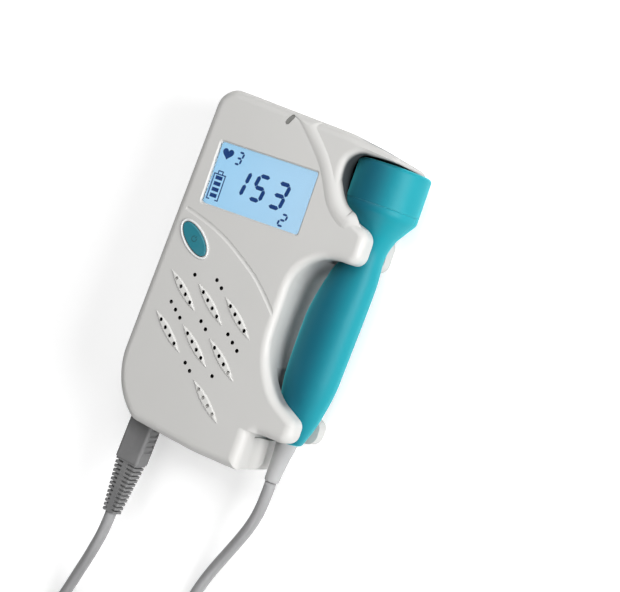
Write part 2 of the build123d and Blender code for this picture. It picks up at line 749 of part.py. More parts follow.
def main_board():
    """The main board, with clearance holes for the screw bosses and cut corners."""
    board = block(BOARD_LEFT, BOARD_RIGHT, BOARD_LOW, BOARD_HIGH, BOARD_Z, BOARD_TOP)
    corners = board.edges().filter_by(Axis.Z).sort_by(Axis.X)[:2]
    board = chamfer(corners.sort_by(Axis.Y)[-1], 5.0)
    board -= at_plug(block(-9, 9, 0, 12.5, -5, 5))
    for x, y in BOSSES:
        board -= rod(x, y, BOARD_Z - 1, BOARD_TOP + 1, BOSS_R + 0.4)
    return board


def board_chips():
    """Chips, coil, crystal, rear connector and status light on the main board."""
    places = (
        (-7.0, 12.0, 9.0, 9.0, 1.2), (4.5, 12.0, 5.0, 6.0, 1.0), (-20.0, 12.5, 6.0, 4.0, 1.1),
        (6.0, -8.0, 5.0, 5.0, 2.0), (6.0, -18.0, 7.0, 4.0, 1.4), (-36.0, -10.0, 4.0, 8.0, 1.2),
        (-36.0, -24.0, 3.2, 5.0, 1.6), (5.0, -42.0, 6.0, 9.0, 1.2), (*STATUS_LIGHT, 2.4, 1.8, 1.0),
    )
    chips = []
    for x, y, w, d, h in places:
        chips.append(block(x - w / 2, x + w / 2, y - d / 2, y + d / 2, BOARD_TOP, BOARD_TOP + h))
    return Compound(children=chips)


SPEAKER_TOP = DEPTH - WALL - GASKET_T
SPEAKER_LOW = SPEAKER_TOP - SPEAKER_T


def speaker():
    """Loudspeaker: basket with a dished cone, dust cap and a magnet behind."""
    body = rod(SPEAKER_X, SPEAKER_Y, SPEAKER_LOW, SPEAKER_TOP, SPEAKER_R)
    body += rod(SPEAKER_X, SPEAKER_Y, SPEAKER_LOW - MAGNET_T, SPEAKER_LOW, MAGNET_R)
    deep = SPEAKER_T - 1.0
    dish = Pos(SPEAKER_X, SPEAKER_Y, SPEAKER_TOP - deep / 2) * Cone(CONE_CAP_R, SPEAKER_R - 2.0, deep)
    body -= dish
    cap = Pos(SPEAKER_X, SPEAKER_Y, SPEAKER_TOP - deep - 3.6) * Sphere(5.6)
    return body + (cap & rod(SPEAKER_X, SPEAKER_Y, SPEAKER_LOW, SPEAKER_TOP, CONE_CAP_R))


def speaker_gasket():
    """Foam ring between speaker and front wall."""
    ring = rod(SPEAKER_X, SPEAKER_Y, SPEAKER_TOP, DEPTH - WALL, SPEAKER_R)
    return ring - rod(SPEAKER_X, SPEAKER_Y, SPEAKER_TOP - 1, DEPTH, SPEAKER_R - 2.0)


SWITCH_TOP = BOARD_TOP + SWITCH_H
PLUNGER_TOP = SWITCH_TOP + 1.0


def button_switch():
    """The tact switch's body, open for its plunger."""
    body = block(
        BUTTON_X - SWITCH_W / 2, BUTTON_X + SWITCH_W / 2, BUTTON_Y - SWITCH_W / 2, BUTTON_Y + SWITCH_W / 2,
        BOARD_TOP, SWITCH_TOP,
    )
    return body - rod(BUTTON_X, BUTTON_Y, BOARD_TOP + 0.6, SWITCH_TOP + 1, PLUNGER_R + PLUNGER_GAP)


def switch_plunger():
    """The switch's plunger, which goes down with the button."""
    return rod(BUTTON_X, BUTTON_Y, BOARD_TOP + 0.6 + BUTTON_TRAVEL + 0.2, PLUNGER_TOP, PLUNGER_R)


def power_button():
    """Oval cap with a rounded top, a flange that holds it behind the wall and a stem on the switch."""
    under = DEPTH - WALL - FLANGE_GAP
    cap = prism(button_face(), under - 0.5, DEPTH + BUTTON_PROUD)
    cap = fillet(cap.edges().group_by(Axis.Z)[-1], 0.6)
    cap += prism(button_face(BUTTON_GAP + 0.9), under - BUTTON_FLANGE, under)
    return cap + rod(BUTTON_X, BUTTON_Y, PLUNGER_TOP, under - BUTTON_FLANGE + 0.2, PLUNGER_R)


def indicator_lens():
    """Light pipe: a slim pane in the slot, a foot behind the wall and a stem down to the status light."""
    pane = prism(indicator_face(), DEPTH - WALL, DEPTH) & (Pos(0, 0, -0.25) * rounded_block())
    foot = prism(indicator_face(0.8) & offset(inner_face(), amount=-FIT), DEPTH - WALL - 1.0, DEPTH - WALL)
    return pane + foot + rod(INDICATOR[0], INDICATOR[1] - 1.0, BOARD_TOP + 1.0, DEPTH - WALL - 0.5, 1.0)


def volume_wheel():
    """Thumbwheel with a notched rim."""
    wheel = rod(WHEEL_X, WHEEL_Y, WHEEL_Z, WHEEL_Z + WHEEL_T, WHEEL_R)
    notch_count = 36
    cuts = []
    for k in range(notch_count):
        angle = 2 * math.pi * k / notch_count
        x = WHEEL_X + (WHEEL_R + 0.25) * math.cos(angle)
        y = WHEEL_Y + (WHEEL_R + 0.25) * math.sin(angle)
        cuts.append(rod(x, y, WHEEL_Z - 1, WHEEL_Z + WHEEL_T + 1, 0.5))
    wheel -= cuts
    return wheel - rod(WHEEL_X, WHEEL_Y, WHEEL_Z - 1, WHEEL_Z + WHEEL_T + 1, SHAFT_R + SHAFT_GAP)


def volume_pot():
    """Volume control: body on the board, shaft through the wheel and a retaining head."""
    top = WHEEL_Z + WHEEL_T + WHEEL_GAP
    pot = rod(WHEEL_X, WHEEL_Y, BOARD_TOP, WHEEL_Z - WHEEL_GAP, 5.5)
    pot += rod(WHEEL_X, WHEEL_Y, WHEEL_Z - 1, top, SHAFT_R)
    return pot + rod(WHEEL_X, WHEEL_Y, top, top + 0.9, 2.6)


def jack(x, half_w, depth, nose_r, body_l):
    """A board-mounted socket: a block with a round nose that comes up to the top wall's face."""
    face_y = top_edge(x) - JACK_SINK
    inner_y = face_y - WALL - 0.4
    body = block(x - half_w, x + half_w, face_y - body_l, inner_y, BOARD_TOP, JACK_Z + half_w)
    return body + along_y(x, JACK_Z, inner_y - 1, face_y, nose_r), face_y


def headphone_socket():
    """3.5 mm jack."""
    body, face_y = jack(PHONE_X, 3.4, PHONE_DEPTH, PHONE_NOSE_R, PHONE_DEPTH + 1.0)
    return body - along_y(PHONE_X, JACK_Z, face_y - PHONE_DEPTH, face_y + 1, PHONE_BORE_R)


def charger_socket():
    """Barrel jack with its centre pin."""
    body, face_y = jack(CHARGER_X, 4.0, CHARGER_DEPTH, CHARGER_NOSE_R, CHARGER_DEPTH + 2.0)
    body -= along_y(CHARGER_X, JACK_Z, face_y - CHARGER_DEPTH, face_y + 1, CHARGER_BORE_R)
    return body + along_y(CHARGER_X, JACK_Z, face_y - CHARGER_DEPTH - 0.5, face_y - 1.0, CHARGER_PIN_R)


def pin_places():
    """The plug's four contacts, in one row."""
    return [(k - 1.5) * PIN_PITCH for k in range(4)]


def probe_socket():
    """Socket for the probe's plug, with bores for its pins."""
    half_w = NOSE_W / 2 + NOSE_GAP
    half_t = NOSE_T / 2 + NOSE_GAP
    depth = NOSE_L + PIN_L + 0.4
    outer_w = half_w + SOCKET_WALL
    outer_t = half_t + SOCKET_WALL
    body = block(-outer_w, outer_w, 0, depth, -outer_t, outer_t)
    body -= block(-half_w, half_w, -1, NOSE_L, -half_t, half_t)
    for x in pin_places():
        body -= along_y(x, 0, NOSE_L - 1, depth + 1, PIN_R + 0.1)
    return at_plug(body)


CARRIER_T = 0.8           # contact carrier at the tip of the plug's nose


def plug_nose():
    """The plug's rigid front end."""
    tip = NOSE_L - SEAT_GAP - CARRIER_T
    return at_plug(block(-NOSE_W / 2, NOSE_W / 2, -SEAT_GAP, tip, -NOSE_T / 2, NOSE_T / 2))


def plug_pins():
    """The plug's contacts on their carrier."""
    tip = NOSE_L - SEAT_GAP
    carrier = block(-NOSE_W / 2, NOSE_W / 2, tip - CARRIER_T, tip, -NOSE_T / 2 + 0.4, NOSE_T / 2 - 0.4)
    for x in pin_places():
        carrier += along_y(x, 0, tip - CARRIER_T / 2, tip + PIN_L, PIN_R)
    return at_plug(carrier)


def plug_boot():
    """Moulded boot with grip grooves, running into a slotted relief that tapers to the lead."""
    end = -SEAT_GAP - BOOT_L
    boot = block(-PLUG_W / 2, PLUG_W / 2, end, -SEAT_GAP, -PLUG_T / 2, PLUG_T / 2)
    boot = fillet(boot.edges().filter_by(Axis.Y), 1.4)
    for side in (-1, 1):
        for k in range(5):
            y = -SEAT_GAP - 9.5 - 2.4 * k
            x = side * PLUG_W / 2
            boot -= block(x - 0.45, x + 0.45, y - 0.6, y + 0.6, -PLUG_T / 2 + 1.6, PLUG_T / 2 - 1.6)
    return at_plug(boot + relief(end))


def relief_half(t):
    """Half width and half thickness of the relief at a share t of its length."""
    half_w = ((PLUG_W - 1.0) * (1 - t) + RELIEF_W * t) / 2
    half_t = ((PLUG_T - 1.0) * (1 - t) + RELIEF_T * t) / 2
    return half_w, half_t


def tapered(start, half_start, half_end):
    """A core that runs from y = start to the relief's end, rectangular all along."""
    near = Pos(0, start, 0) * Rot(90, 0, 0) * Rectangle(2 * half_start[0], 2 * half_start[1])
    far = Pos(0, start - RELIEF_L, 0) * Rot(90, 0, 0) * Rectangle(2 * half_end[0], 2 * half_end[1])
    return loft([near, far])


def relief(start):
    """Flexible relief: a tapered core with a rib at each pitch and a spine on front and back."""
    w0, t0 = relief_half(0)
    w1, t1 = relief_half(1)
    shape = tapered(start, (w0 - SLOT_DEEP, t0 - SLOT_DEEP), (w1 - SLOT_DEEP, t1 - SLOT_DEEP))
    shape += tapered(start, (SPINE / 2, t0 - 0.1), (SPINE / 2, t1 - 0.1))
    rib_t = SLOT_PITCH - SLOT_T
    rib_pitch = (RELIEF_L - rib_t) / SLOT_ROWS
    for row in range(SLOT_ROWS + 1):
        half_w, half_t = relief_half(row / SLOT_ROWS)
        rib = Pos(0, start - row * rib_pitch, 0) * Rot(90, 0, 0) * RectangleRounded(2 * half_w, 2 * half_t, 0.9)
        shape += extrude(rib, amount=rib_t)
    return shape


def battery_cells():
    """Two AA cells, head to tail."""
    cells = []
    for side in (-1, 1):
        x = CELL_X + side * CELL_PITCH / 2
        middle = CELL_Y - side * CELL_NUB_L / 2
        half = (CELL_L - CELL_NUB_L) / 2
        body = along_y(x, CELL_Z, middle - half, middle + half, CELL_R)
        nub_y = CELL_Y + side * (CELL_L - CELL_NUB_L) / 2
        cells.append(body + along_y(x, CELL_Z, nub_y - CELL_NUB_L / 2, nub_y + CELL_NUB_L / 2, CELL_NUB_R))
    return Compound(children=cells)


def contact_spring(x, y):
    """A coned wire spring between a contact plate and a cell."""
    coil = Helix(pitch=1.1, height=SPRING_L - 0.9, radius=3.6, cone_angle=-14)
    wire = sweep(Plane(origin=coil @ 0, z_dir=coil % 0) * Circle(0.32), path=coil)
    return Pos(x, y + 0.3, CELL_Z) * Rot(-90, 0, 0) * wire


def battery_contacts():
    """Contact plates at both ends of the tray, with a spring for each cell."""
    x0 = CELL_X - CELL_PITCH + 0.5
    x1 = CELL_X + CELL_PITCH - 0.5
    low = block(x0, x1, TRAY_LOW_Y, TRAY_LOW_Y + CONTACT_T, CELL_Z - 5.0, CELL_Z + 5.0)
    high = block(x0, x1, TRAY_HIGH_Y - CONTACT_T, TRAY_HIGH_Y, CELL_Z - 5.0, CELL_Z + 5.0)
    springs = [contact_spring(CELL_X + side * CELL_PITCH / 2, TRAY_LOW_Y + CONTACT_T) for side in (-1, 1)]
    return Compound(children=[low, high, *springs])


def shell_screws():
    """Four screws that go in from the back."""
    screws = []
    for x, y in BOSSES:
        screw = rod(x, y, SCREW_SEAT - 1.7, SCREW_SEAT, SCREW_HEAD_R)
        screw -= block(x - 1.4, x + 1.4, y - 0.3, y + 0.3, 0, SCREW_SEAT - 1.0)
        screw -= block(x - 0.3, x + 0.3, y - 1.4, y + 1.4, 0, SCREW_SEAT - 1.0)
        screws.append(screw + rod(x, y, SCREW_SEAT, SCREW_TOP, SCREW_R - 0.02))
    return Compound(children=screws)


def below(shape, y):
    """The part of a shape under the height y."""
    return shape & block(-REACH, REACH, -REACH, y, -REACH, REACH)


def probe_halves():
    """Front and back half of the handle, hollow, with ribs that clamp the probe's board."""
    outer = below(head_solid() + grip_solid(), CAP_Y)
    hollow = below(head_solid(-SHELL_T) + grip_solid(SHELL_T), CAP_Y + 1)
    hollow = hollow & block(-REACH, REACH, TAIL_Y + 3.0, CAP_Y + 1, -REACH, REACH)
    body = outer - hollow
    for y in (PROBE_BOARD_LOW + RIB_INSET, PROBE_BOARD_HIGH - RIB_INSET):
        rib = block(-REACH, REACH, y - RIB_T / 2, y + RIB_T / 2, -REACH, REACH)
        body += rib & grip_solid(SHELL_T / 2)
    half = PROBE_BOARD_T / 2
    low = PROBE_BOARD_LOW - BOARD_ROOM
    high = PROBE_BOARD_HIGH + BOARD_ROOM
    body -= block(PROBE_BOARD_X0 - FIT, PROBE_BOARD_X1 + FIT, low, high, AXIS_Z - half, AXIS_Z + half)
    front = body & block(-REACH, REACH, -REACH, REACH, AXIS_Z, REACH)
    back = body & block(-REACH, REACH, -REACH, REACH, -REACH, AXIS_Z)
    return front, back


PROBE_BOARD_T = 1.6
PROBE_BOARD_X0 = 26.0
PROBE_BOARD_X1 = 36.0
PROBE_BOARD_LOW = -38.0
PROBE_BOARD_HIGH = 12.0
BOARD_ROOM = 2.0          # room beyond each end of the probe's board
RIB_INSET = 7.0
RIB_T = 1.4


def probe_board():
    """The probe's own small board."""
    half = PROBE_BOARD_T / 2
    return block(PROBE_BOARD_X0, PROBE_BOARD_X1, PROBE_BOARD_LOW, PROBE_BOARD_HIGH, AXIS_Z - half, AXIS_Z + half)


CAP_BORE_R = HEAD_R - CAP_WALL
FACE_Y = HEAD_FACE_Y - 0.3


def probe_head_cap():
    """The head's outer ring, rounded at its front edge."""
    ring = along_y(HEAD_X, AXIS_Z, CAP_Y, HEAD_FACE_Y, HEAD_R)
    ring = fillet(ring.edges().group_by(Axis.Y)[-1], 1.5)
    return ring - along_y(HEAD_X, AXIS_Z, CAP_Y - 1, HEAD_FACE_Y + 1, CAP_BORE_R)


def probe_face():
    """The acoustic window that touches the skin."""
    return along_y(HEAD_X, AXIS_Z, FACE_Y - FACE_T, FACE_Y, CAP_BORE_R - 0.05)


def transducer_discs():
    """Two half discs behind the face: one sends and one listens."""
    disc = along_y(HEAD_X, AXIS_Z, FACE_Y - FACE_T - DISC_T, FACE_Y - FACE_T, DISC_R)
    return disc - block(HEAD_X - 0.4, HEAD_X + 0.4, 0, 80, -20, 60)


def crystal_holder():
    """Cup that holds the discs against the face."""
    top = FACE_Y - FACE_T
    cup = along_y(HEAD_X, AXIS_Z, top - DISC_T - 2.4, top, CAP_BORE_R - 0.1)
    return cup - along_y(HEAD_X, AXIS_Z, top - DISC_T, top + 1, DISC_R + 0.2)


def probe_sleeve():
    """Tapered sleeve where the lead leaves the probe."""
    top = Pos(SLEEVE_X, TAIL_Y, AXIS_Z) * Rot(90, 0, 0) * Circle(SLEEVE_TOP_R)
    low = Pos(LEAD_X, SLEEVE_END, AXIS_Z) * Rot(90, 0, 0) * Circle(SLEEVE_END_R)
    return loft([top, low])


def on_plug_axis(run):
    """A point on the plug's axis, a run beyond the end of its relief."""
    length = SEAT_GAP + BOOT_L + RELIEF_L + run
    lean = math.radians(PLUG_TILT)
    return (PLUG_X + length * math.sin(lean), PLUG_SEAT - length * math.cos(lean), PLUG_Z)


COIL_OUTER = COIL_MID_R + (COIL_COLUMNS - 1) * CORD_D / 2
LEAD_GAP = 0.3            # between the sleeve and its lead
PROBE_ROUTE = (
    (LEAD_X, SLEEVE_END - LEAD_GAP, AXIS_Z),
    (LEAD_X, SLEEVE_END - 9.0, AXIS_Z),
    (25.9, -91.2, 15.7),
    (21.0, -100.6, 12.0),
    (15.0, -110.6, 7.4),
    (9.2, -121.2, 3.8),
    (5.2, -132.5, 2.6),
    (3.8, -144.6, 2.45),
    (4.6, -156.6, 2.45),
    (6.6, -168.0, 2.45),
    (COIL_X + COIL_OUTER, -179.6, 2.45),
)
PLUG_ROUTE = (
    on_plug_axis(0),
    on_plug_axis(7.5),
    (-37.4, -125.3, 18.4),
    (-41.4, -133.8, 14.4),
    (-46.2, -142.6, 9.6),
    (-50.8, -152.0, 5.3),
    (-54.8, -161.6, 3.0),
    (-57.3, -170.6, 3.6),
    (COIL_X - COIL_OUTER, -179.6, 6.0),
)


def tube(route):
    """A lead along a route: straight runs joined by arcs as large as the runs allow."""
    points = [Vector(*p) for p in route]
    radii = []
    for a, b, c in zip(points, points[1:], points[2:]):
        turn = math.radians((b - a).get_angle(c - b))
        radii.append(0.45 * min((b - a).length, (c - b).length) / math.tan(turn / 2))
    path = FilletPolyline(*points, radius=radii)
    start = Plane(origin=path @ 0, z_dir=path % 0)
    solid = sweep(start * Circle(CORD_D / 2), path=path)
    ideal = math.pi * (CORD_D / 2) ** 2 * path.length
    print("radii", [round(r, 1) for r in radii])
    print("length", round(path.length, 1), "volume over section times length", round(solid.volume / ideal, 4))
    return solid


def cord_coil():
    """The outer shape of the wound lead."""
    half = COIL_COLUMNS * CORD_D / 2
    high = COIL_LAYERS * CORD_D
    ring = Pos(COIL_X, COIL_Y, high / 2) * Cylinder(COIL_MID_R + half, high)
    ring -= Pos(COIL_X, COIL_Y, high / 2) * Cylinder(COIL_MID_R - half, high + 2)
    return fillet(ring.edges(), 1.6)


def write(name, shape):
    """One STEP file for each node."""
    export_step(shape, f"parts/{name}.step")


def main():
    os.makedirs("parts", exist_ok=True)
    front, back = shells()
    probe_front, probe_back = probe_halves()
    write("front_shell", front_shell(front))
    write("back_shell", back_shell(back))
    write("battery_cover", battery_cover())
    write("display_window", display_window())
    write("lcd_panel", lcd_panel())
    write("backlight_guide", backlight_guide())
    write("lcd_frame", lcd_frame())
    write("main_board", main_board())
    write("board_chips", board_chips())
    write("speaker", speaker())
    write("speaker_gasket", speaker_gasket())
    write("button_switch", button_switch())
    write("switch_plunger", switch_plunger())
    write("power_button", power_button())
    write("indicator_lens", indicator_lens())
    write("volume_wheel", volume_wheel())
    write("volume_pot", volume_pot())
    write("headphone_socket", headphone_socket())
    write("charger_socket", charger_socket())
    write("probe_socket", probe_socket())
    write("battery_cells", battery_cells())
    write("battery_contacts", battery_contacts())
    write("shell_screws", shell_screws())
    write("probe_front_half", probe_front)
    write("probe_back_half", probe_back)
    write("probe_board", probe_board())
    write("probe_head_cap", probe_head_cap())
    write("probe_face", probe_face())
    write("transducer_discs", transducer_discs())
    write("crystal_holder", crystal_holder())
    write("probe_sleeve", probe_sleeve())
    write("plug_nose", plug_nose())
    write("plug_pins", plug_pins())
    write("plug_boot", plug_boot())
    write("probe_lead", tube(PROBE_ROUTE))
    write("plug_lead", tube(PLUG_ROUTE))
    write("cord_coil", cord_coil())


main()
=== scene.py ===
import math

import bmesh
import bpy
import numpy as np
from mathutils import Matrix, Vector

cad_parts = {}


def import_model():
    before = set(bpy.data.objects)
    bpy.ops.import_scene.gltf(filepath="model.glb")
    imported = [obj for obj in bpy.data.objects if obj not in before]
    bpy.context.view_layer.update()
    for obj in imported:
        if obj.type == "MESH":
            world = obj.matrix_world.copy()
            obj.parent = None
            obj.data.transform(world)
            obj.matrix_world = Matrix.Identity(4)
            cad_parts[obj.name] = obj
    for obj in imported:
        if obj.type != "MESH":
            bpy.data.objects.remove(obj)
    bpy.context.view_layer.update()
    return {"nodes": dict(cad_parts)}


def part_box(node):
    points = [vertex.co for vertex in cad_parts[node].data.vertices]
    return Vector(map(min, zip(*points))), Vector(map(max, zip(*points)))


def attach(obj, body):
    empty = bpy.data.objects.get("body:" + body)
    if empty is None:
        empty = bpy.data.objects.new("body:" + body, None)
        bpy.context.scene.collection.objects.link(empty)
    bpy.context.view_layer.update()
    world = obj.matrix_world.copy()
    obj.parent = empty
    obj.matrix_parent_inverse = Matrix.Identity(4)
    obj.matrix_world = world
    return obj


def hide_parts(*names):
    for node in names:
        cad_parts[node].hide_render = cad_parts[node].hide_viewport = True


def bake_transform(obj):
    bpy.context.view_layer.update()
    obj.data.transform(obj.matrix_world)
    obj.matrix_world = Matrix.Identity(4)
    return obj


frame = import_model()
NODES = frame["nodes"]

# Sizes are written in millimetres and turned into metres where a mesh, a mask or a light is made.
MM = 0.001
FACE_Z = 35.0             # the housing's front face
AXIS_Z = 17.5             # the probe's axis, which is also the parting line of the shells
HEAD_X = 35.0             # the head's axis
HEAD_R = 15.0
HANDLE_X = 31.0           # about the middle of the handle
CAP_Y = 45.0              # seam between the handle and the head ring
TAIL_Y = -55.4            # where the handle ends and the sleeve begins


# ---------------------------------------------------------------- camera
CAMERA_PLACE = (270.3, 28.0, 564.2)
CAMERA_RIGHT = (0.85203, 0.32699, -0.40883)
CAMERA_UP = (-0.31391, 0.94409, 0.10089)
CAMERA_BACK = (0.41895, 0.04238, 0.90702)
CAMERA_LENS = 87.64
CAMERA_SENSOR = 36.0
CAMERA_NEAR = 10.0        # nothing closer than this is drawn


def camera():
    """A long lens that looks down on the front face from the right."""
    data = bpy.data.cameras.new("camera")
    data.sensor_width = CAMERA_SENSOR
    data.lens = CAMERA_LENS
    data.clip_start = CAMERA_NEAR * MM
    obj = bpy.data.objects.new("camera", data)
    bpy.context.scene.collection.objects.link(obj)
    turn = Matrix((CAMERA_RIGHT, CAMERA_UP, CAMERA_BACK)).transposed().to_4x4()
    obj.matrix_world = Matrix.Translation(Vector(CAMERA_PLACE) * MM) @ turn
    bpy.context.scene.camera = obj


camera()


# ---------------------------------------------------------------- mesh helpers
MERGE_M = 1e-6            # points closer than this become one
SHARP = math.radians(40)  # edges sharper than this are rounded


def link(name, vertices, faces, smooth=True):
    """A mesh object from an array of points in millimetres and a list or array of faces."""
    mesh = bpy.data.meshes.new(name)
    mesh.from_pydata((np.asarray(vertices) * MM).tolist(), [], [list(map(int, face)) for face in faces])
    mesh.polygons.foreach_set("use_smooth", np.full(len(mesh.polygons), smooth))
    mesh.update()
    obj = bpy.data.objects.new(name, mesh)
    bpy.context.scene.collection.objects.link(obj)
    return obj


def grid_faces(rows, columns, wrap=False):
    """Quads of a grid whose points run along each row in turn; wrap joins the last column to the first."""
    across = columns if wrap else columns - 1
    row, column = np.meshgrid(np.arange(rows - 1), np.arange(across), indexing="ij")
    beside = (column + 1) % columns
    here, above = row * columns, (row + 1) * columns
    quads = (here + column, here + beside, above + beside, above + column)
    return np.stack(quads, axis=-1).reshape(-1, 4)


def outward(obj):
    """Merges doubles and turns all faces outwards."""
    shape = bmesh.new()
    shape.from_mesh(obj.data)
    bmesh.ops.remove_doubles(shape, verts=shape.verts, dist=MERGE_M)
    bmesh.ops.recalc_face_normals(shape, faces=shape.faces)
    shape.to_mesh(obj.data)
    shape.free()
    return obj


def closed_tube(name, points):
    """A solid from rows of rings, an array of row by ring by coordinate, with a face over each end."""
    rows, sides = points.shape[:2]
    faces = grid_faces(rows, sides, wrap=True).tolist()
    faces.append(list(range(sides)))
    faces.append(list(range((rows - 1) * sides, rows * sides)))
    return outward(link(name, points.reshape(-1, 3), faces))


def level_rings(x, y, z):
    """Rows of points that each lie at one Y."""
    return np.stack([x, np.broadcast_to(y[:, None], x.shape), z], axis=-1)


def smooth_step(share):
    """0 below 0 and 1 above 1, with the smooth cubic step between."""
    share = np.clip(share, 0, 1)
    return share * share * (3 - 2 * share)


def quarter_round(share):
    """1 at 0 and 0 from 1 on, falling along a quarter circle."""
    return 1 - np.sqrt(1 - (1 - np.clip(share, 0, 1)) ** 2)


def thicken(obj, thickness, offset=-1.0):
    """Gives an open surface a wall, in millimetres."""
    modifier = obj.modifiers.new("wall", "SOLIDIFY")
    modifier.thickness = thickness * MM
    modifier.offset = offset
    modifier.use_even_offset = True
    return obj


def soften(obj, width):
    """Rounds sharp edges, in millimetres."""
    modifier = obj.modifiers.new("round", "BEVEL")
    modifier.width = width * MM
    modifier.segments = 2
    modifier.limit_method = "ANGLE"
    modifier.angle_limit = SHARP
    return obj


# ---------------------------------------------------------------- lead
CORD_R = 2.38
CORD_SIDES = 20
COIL_X = -24.0
COIL_Y = -191.0
COIL_R = 32.8             # of the outermost turns
COIL_PITCH = 4.8
LAYERS = (2.45, 7.25)     # heights of the coil's lower and upper turns
TURNS = 4.5
POINTS_PER_TURN = 24
LINE_ORDER = 3            # of the NURBS line, so quadratic
LINE_STEPS = 10           # points for each control point
CHANGE = 0.25             # share of a turn in which the coil changes its radius or layer
INWARDS = (0.75, 1.75)    # turns at which the coil starts to draw in by its pitch
OUTWARDS = (3.25, 4.25)
UPWARDS = 2.5             # turn at which it starts to rise to the upper layer
PROBE_ROUTE = (
    (28.3, -72.8, 17.5),
    (28.3, -81.5, 17.5),
    (25.9, -91.2, 15.7),
    (21.0, -100.6, 12.0),
    (15.0, -110.6, 7.4),
    (9.2, -121.2, 3.8),
    (5.2, -132.5, 2.6),
    (3.8, -144.6, 2.45),
    (4.6, -156.6, 2.45),
    (6.6, -168.0, 2.45),
    (8.8, -179.6, 2.45),
)
PLUG_ROUTE = (
    (-34.67, -109.94, 20.0),
    (-35.04, -117.43, 20.0),
    (-37.4, -125.3, 18.4),
    (-41.4, -133.8, 14.4),
    (-46.2, -142.6, 9.6),
    (-50.8, -152.0, 5.3),
    (-54.8, -161.6, 3.0),
    (-57.3, -170.6, 3.6),
    (-56.8, -179.6, 6.0),
)


def coil_points():
    """Clockwise turns about the coil's centre: radius and height are sums of smooth quarter-turn steps."""
    t = np.arange(1, int(TURNS * POINTS_PER_TURN)) / POINTS_PER_TURN
    inwards = sum(smooth_step((t - start) / CHANGE) for start in INWARDS)
    inwards -= sum(smooth_step((t - start) / CHANGE) for start in OUTWARDS)
    radius = COIL_R - COIL_PITCH * inwards
    height = LAYERS[0] + (LAYERS[1] - LAYERS[0]) * smooth_step((t - UPWARDS) / CHANGE)
    angle = -2 * np.pi * t
    return np.stack([COIL_X + radius * np.cos(angle), COIL_Y + radius * np.sin(angle), height], axis=-1)


def smooth_line(points):
    """Points, in millimetres, along the quadratic NURBS line that has these control points."""
    curve = bpy.data.curves.new("lead_line", "CURVE")
    curve.dimensions = "3D"
    spline = curve.splines.new("NURBS")
    spline.points.add(len(points) - 1)
    spline.points.foreach_set("co", np.column_stack([points, np.ones(len(points))]).ravel())
    spline.order_u = LINE_ORDER
    spline.use_endpoint_u = True
    spline.resolution_u = LINE_STEPS
    holder = bpy.data.objects.new("lead_line", curve)
    mesh = bpy.data.meshes.new_from_object(holder)
    line = np.empty(len(mesh.vertices) * 3)
    mesh.vertices.foreach_get("co", line)
    bpy.data.objects.remove(holder)
    bpy.data.curves.remove(curve)
    bpy.data.meshes.remove(mesh)
    return line.reshape(-1, 3)


def round_cord(name, line):
    """A round tube: each ring stands square to the line, with one axis level."""
    along = np.gradient(line, axis=0)
    along /= np.linalg.norm(along, axis=1, keepdims=True)
    level = np.cross(along, (0.0, 0.0, 1.0))
    level /= np.linalg.norm(level, axis=1, keepdims=True)
    upright = np.cross(level, along)
    angle = np.linspace(0, 2 * np.pi, CORD_SIDES, endpoint=False)[None, :, None]
    ring = np.cos(angle) * level[:, None, :] + np.sin(angle) * upright[:, None, :]
    return closed_tube(name, line[:, None, :] + CORD_R * ring)


def lead():
    """The probe's lead: out of the sleeve, over the floor, round the coil and up into the plug."""
    line = smooth_line(np.vstack([PROBE_ROUTE, coil_points(), PLUG_ROUTE[::-1]]))
    cord = round_cord("lead", line)
    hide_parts("probe_lead", "cord_coil", "plug_lead")
    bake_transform(cord)
    return cord


LEAD = lead()


# ---------------------------------------------------------------- shader helpers
def feed(tree, value, socket):
    """Gives a socket a number, a colour of three numbers or the link from another socket."""
    if isinstance(value, (int, float)):
        socket.default_value = value
    elif isinstance(value, tuple):
        socket.default_value = (*value, 1.0)
    else:
        tree.links.new(value, socket)


def add_node(tree, kind, **settings):
    """A node with its settings; a name that is an input's sets that input."""
    node = tree.nodes.new(kind)
    for name, value in settings.items():
        if hasattr(node, name):
            setattr(node, name, value)
        else:
            node.inputs[name].default_value = value
    return node


class Shader:
    """A material's node tree with its Principled node, and short calls to set that node's inputs."""

    def __init__(self, name):
        self.material = bpy.data.materials.new(name)
        self.material.use_nodes = True
        self.tree = self.material.node_tree
        self.base = self.tree.nodes["Principled BSDF"]

    def set(self, **values):
        """Feeds inputs by name, with an underscore for each space."""
        for name, value in values.items():
            feed(self.tree, value, self.base.inputs[name.replace("_", " ")])

    def group(self, tree, **values):
        """A group's node with its numbers."""
        node = add_node(self.tree, "ShaderNodeGroup", node_tree=tree)
        for name, value in values.items():
            node.inputs[name.replace("_", " ")].default_value = value
        return node

    def bump(self, height, strength, distance):
        """Raises the surface by a height from 0 to 1, times a distance in metres."""
        node = add_node(self.tree, "ShaderNodeBump", Strength=strength, Distance=distance)
        self.tree.links.new(height, node.inputs["Height"])
        self.set(Normal=node.outputs["Normal"])

    def colour(self):
        """What feeds the base colour so far."""
        return self.base.inputs["Base Color"].links[0].from_socket


def new_group(name, inputs, masks):
    """An empty shader group with float inputs and float outputs."""
    tree = bpy.data.node_groups.new(name, "ShaderNodeTree")
    for label, value in inputs.items():
        socket = tree.interface.new_socket(label, in_out="INPUT", socket_type="NodeSocketFloat")
        socket.default_value = value
    for label in masks:
        tree.interface.new_socket(label, in_out="OUTPUT", socket_type="NodeSocketFloat")
    return tree, tree.nodes.new("NodeGroupInput").outputs, tree.nodes.new("NodeGroupOutput").inputs


def object_place(tree):
    """Object coordinates, in metres."""
    return tree.nodes.new("ShaderNodeTexCoord").outputs["Object"]


def true_normal(tree):
    """The surface's normal."""
    return tree.nodes.new("ShaderNodeNewGeometry").outputs["Normal"]


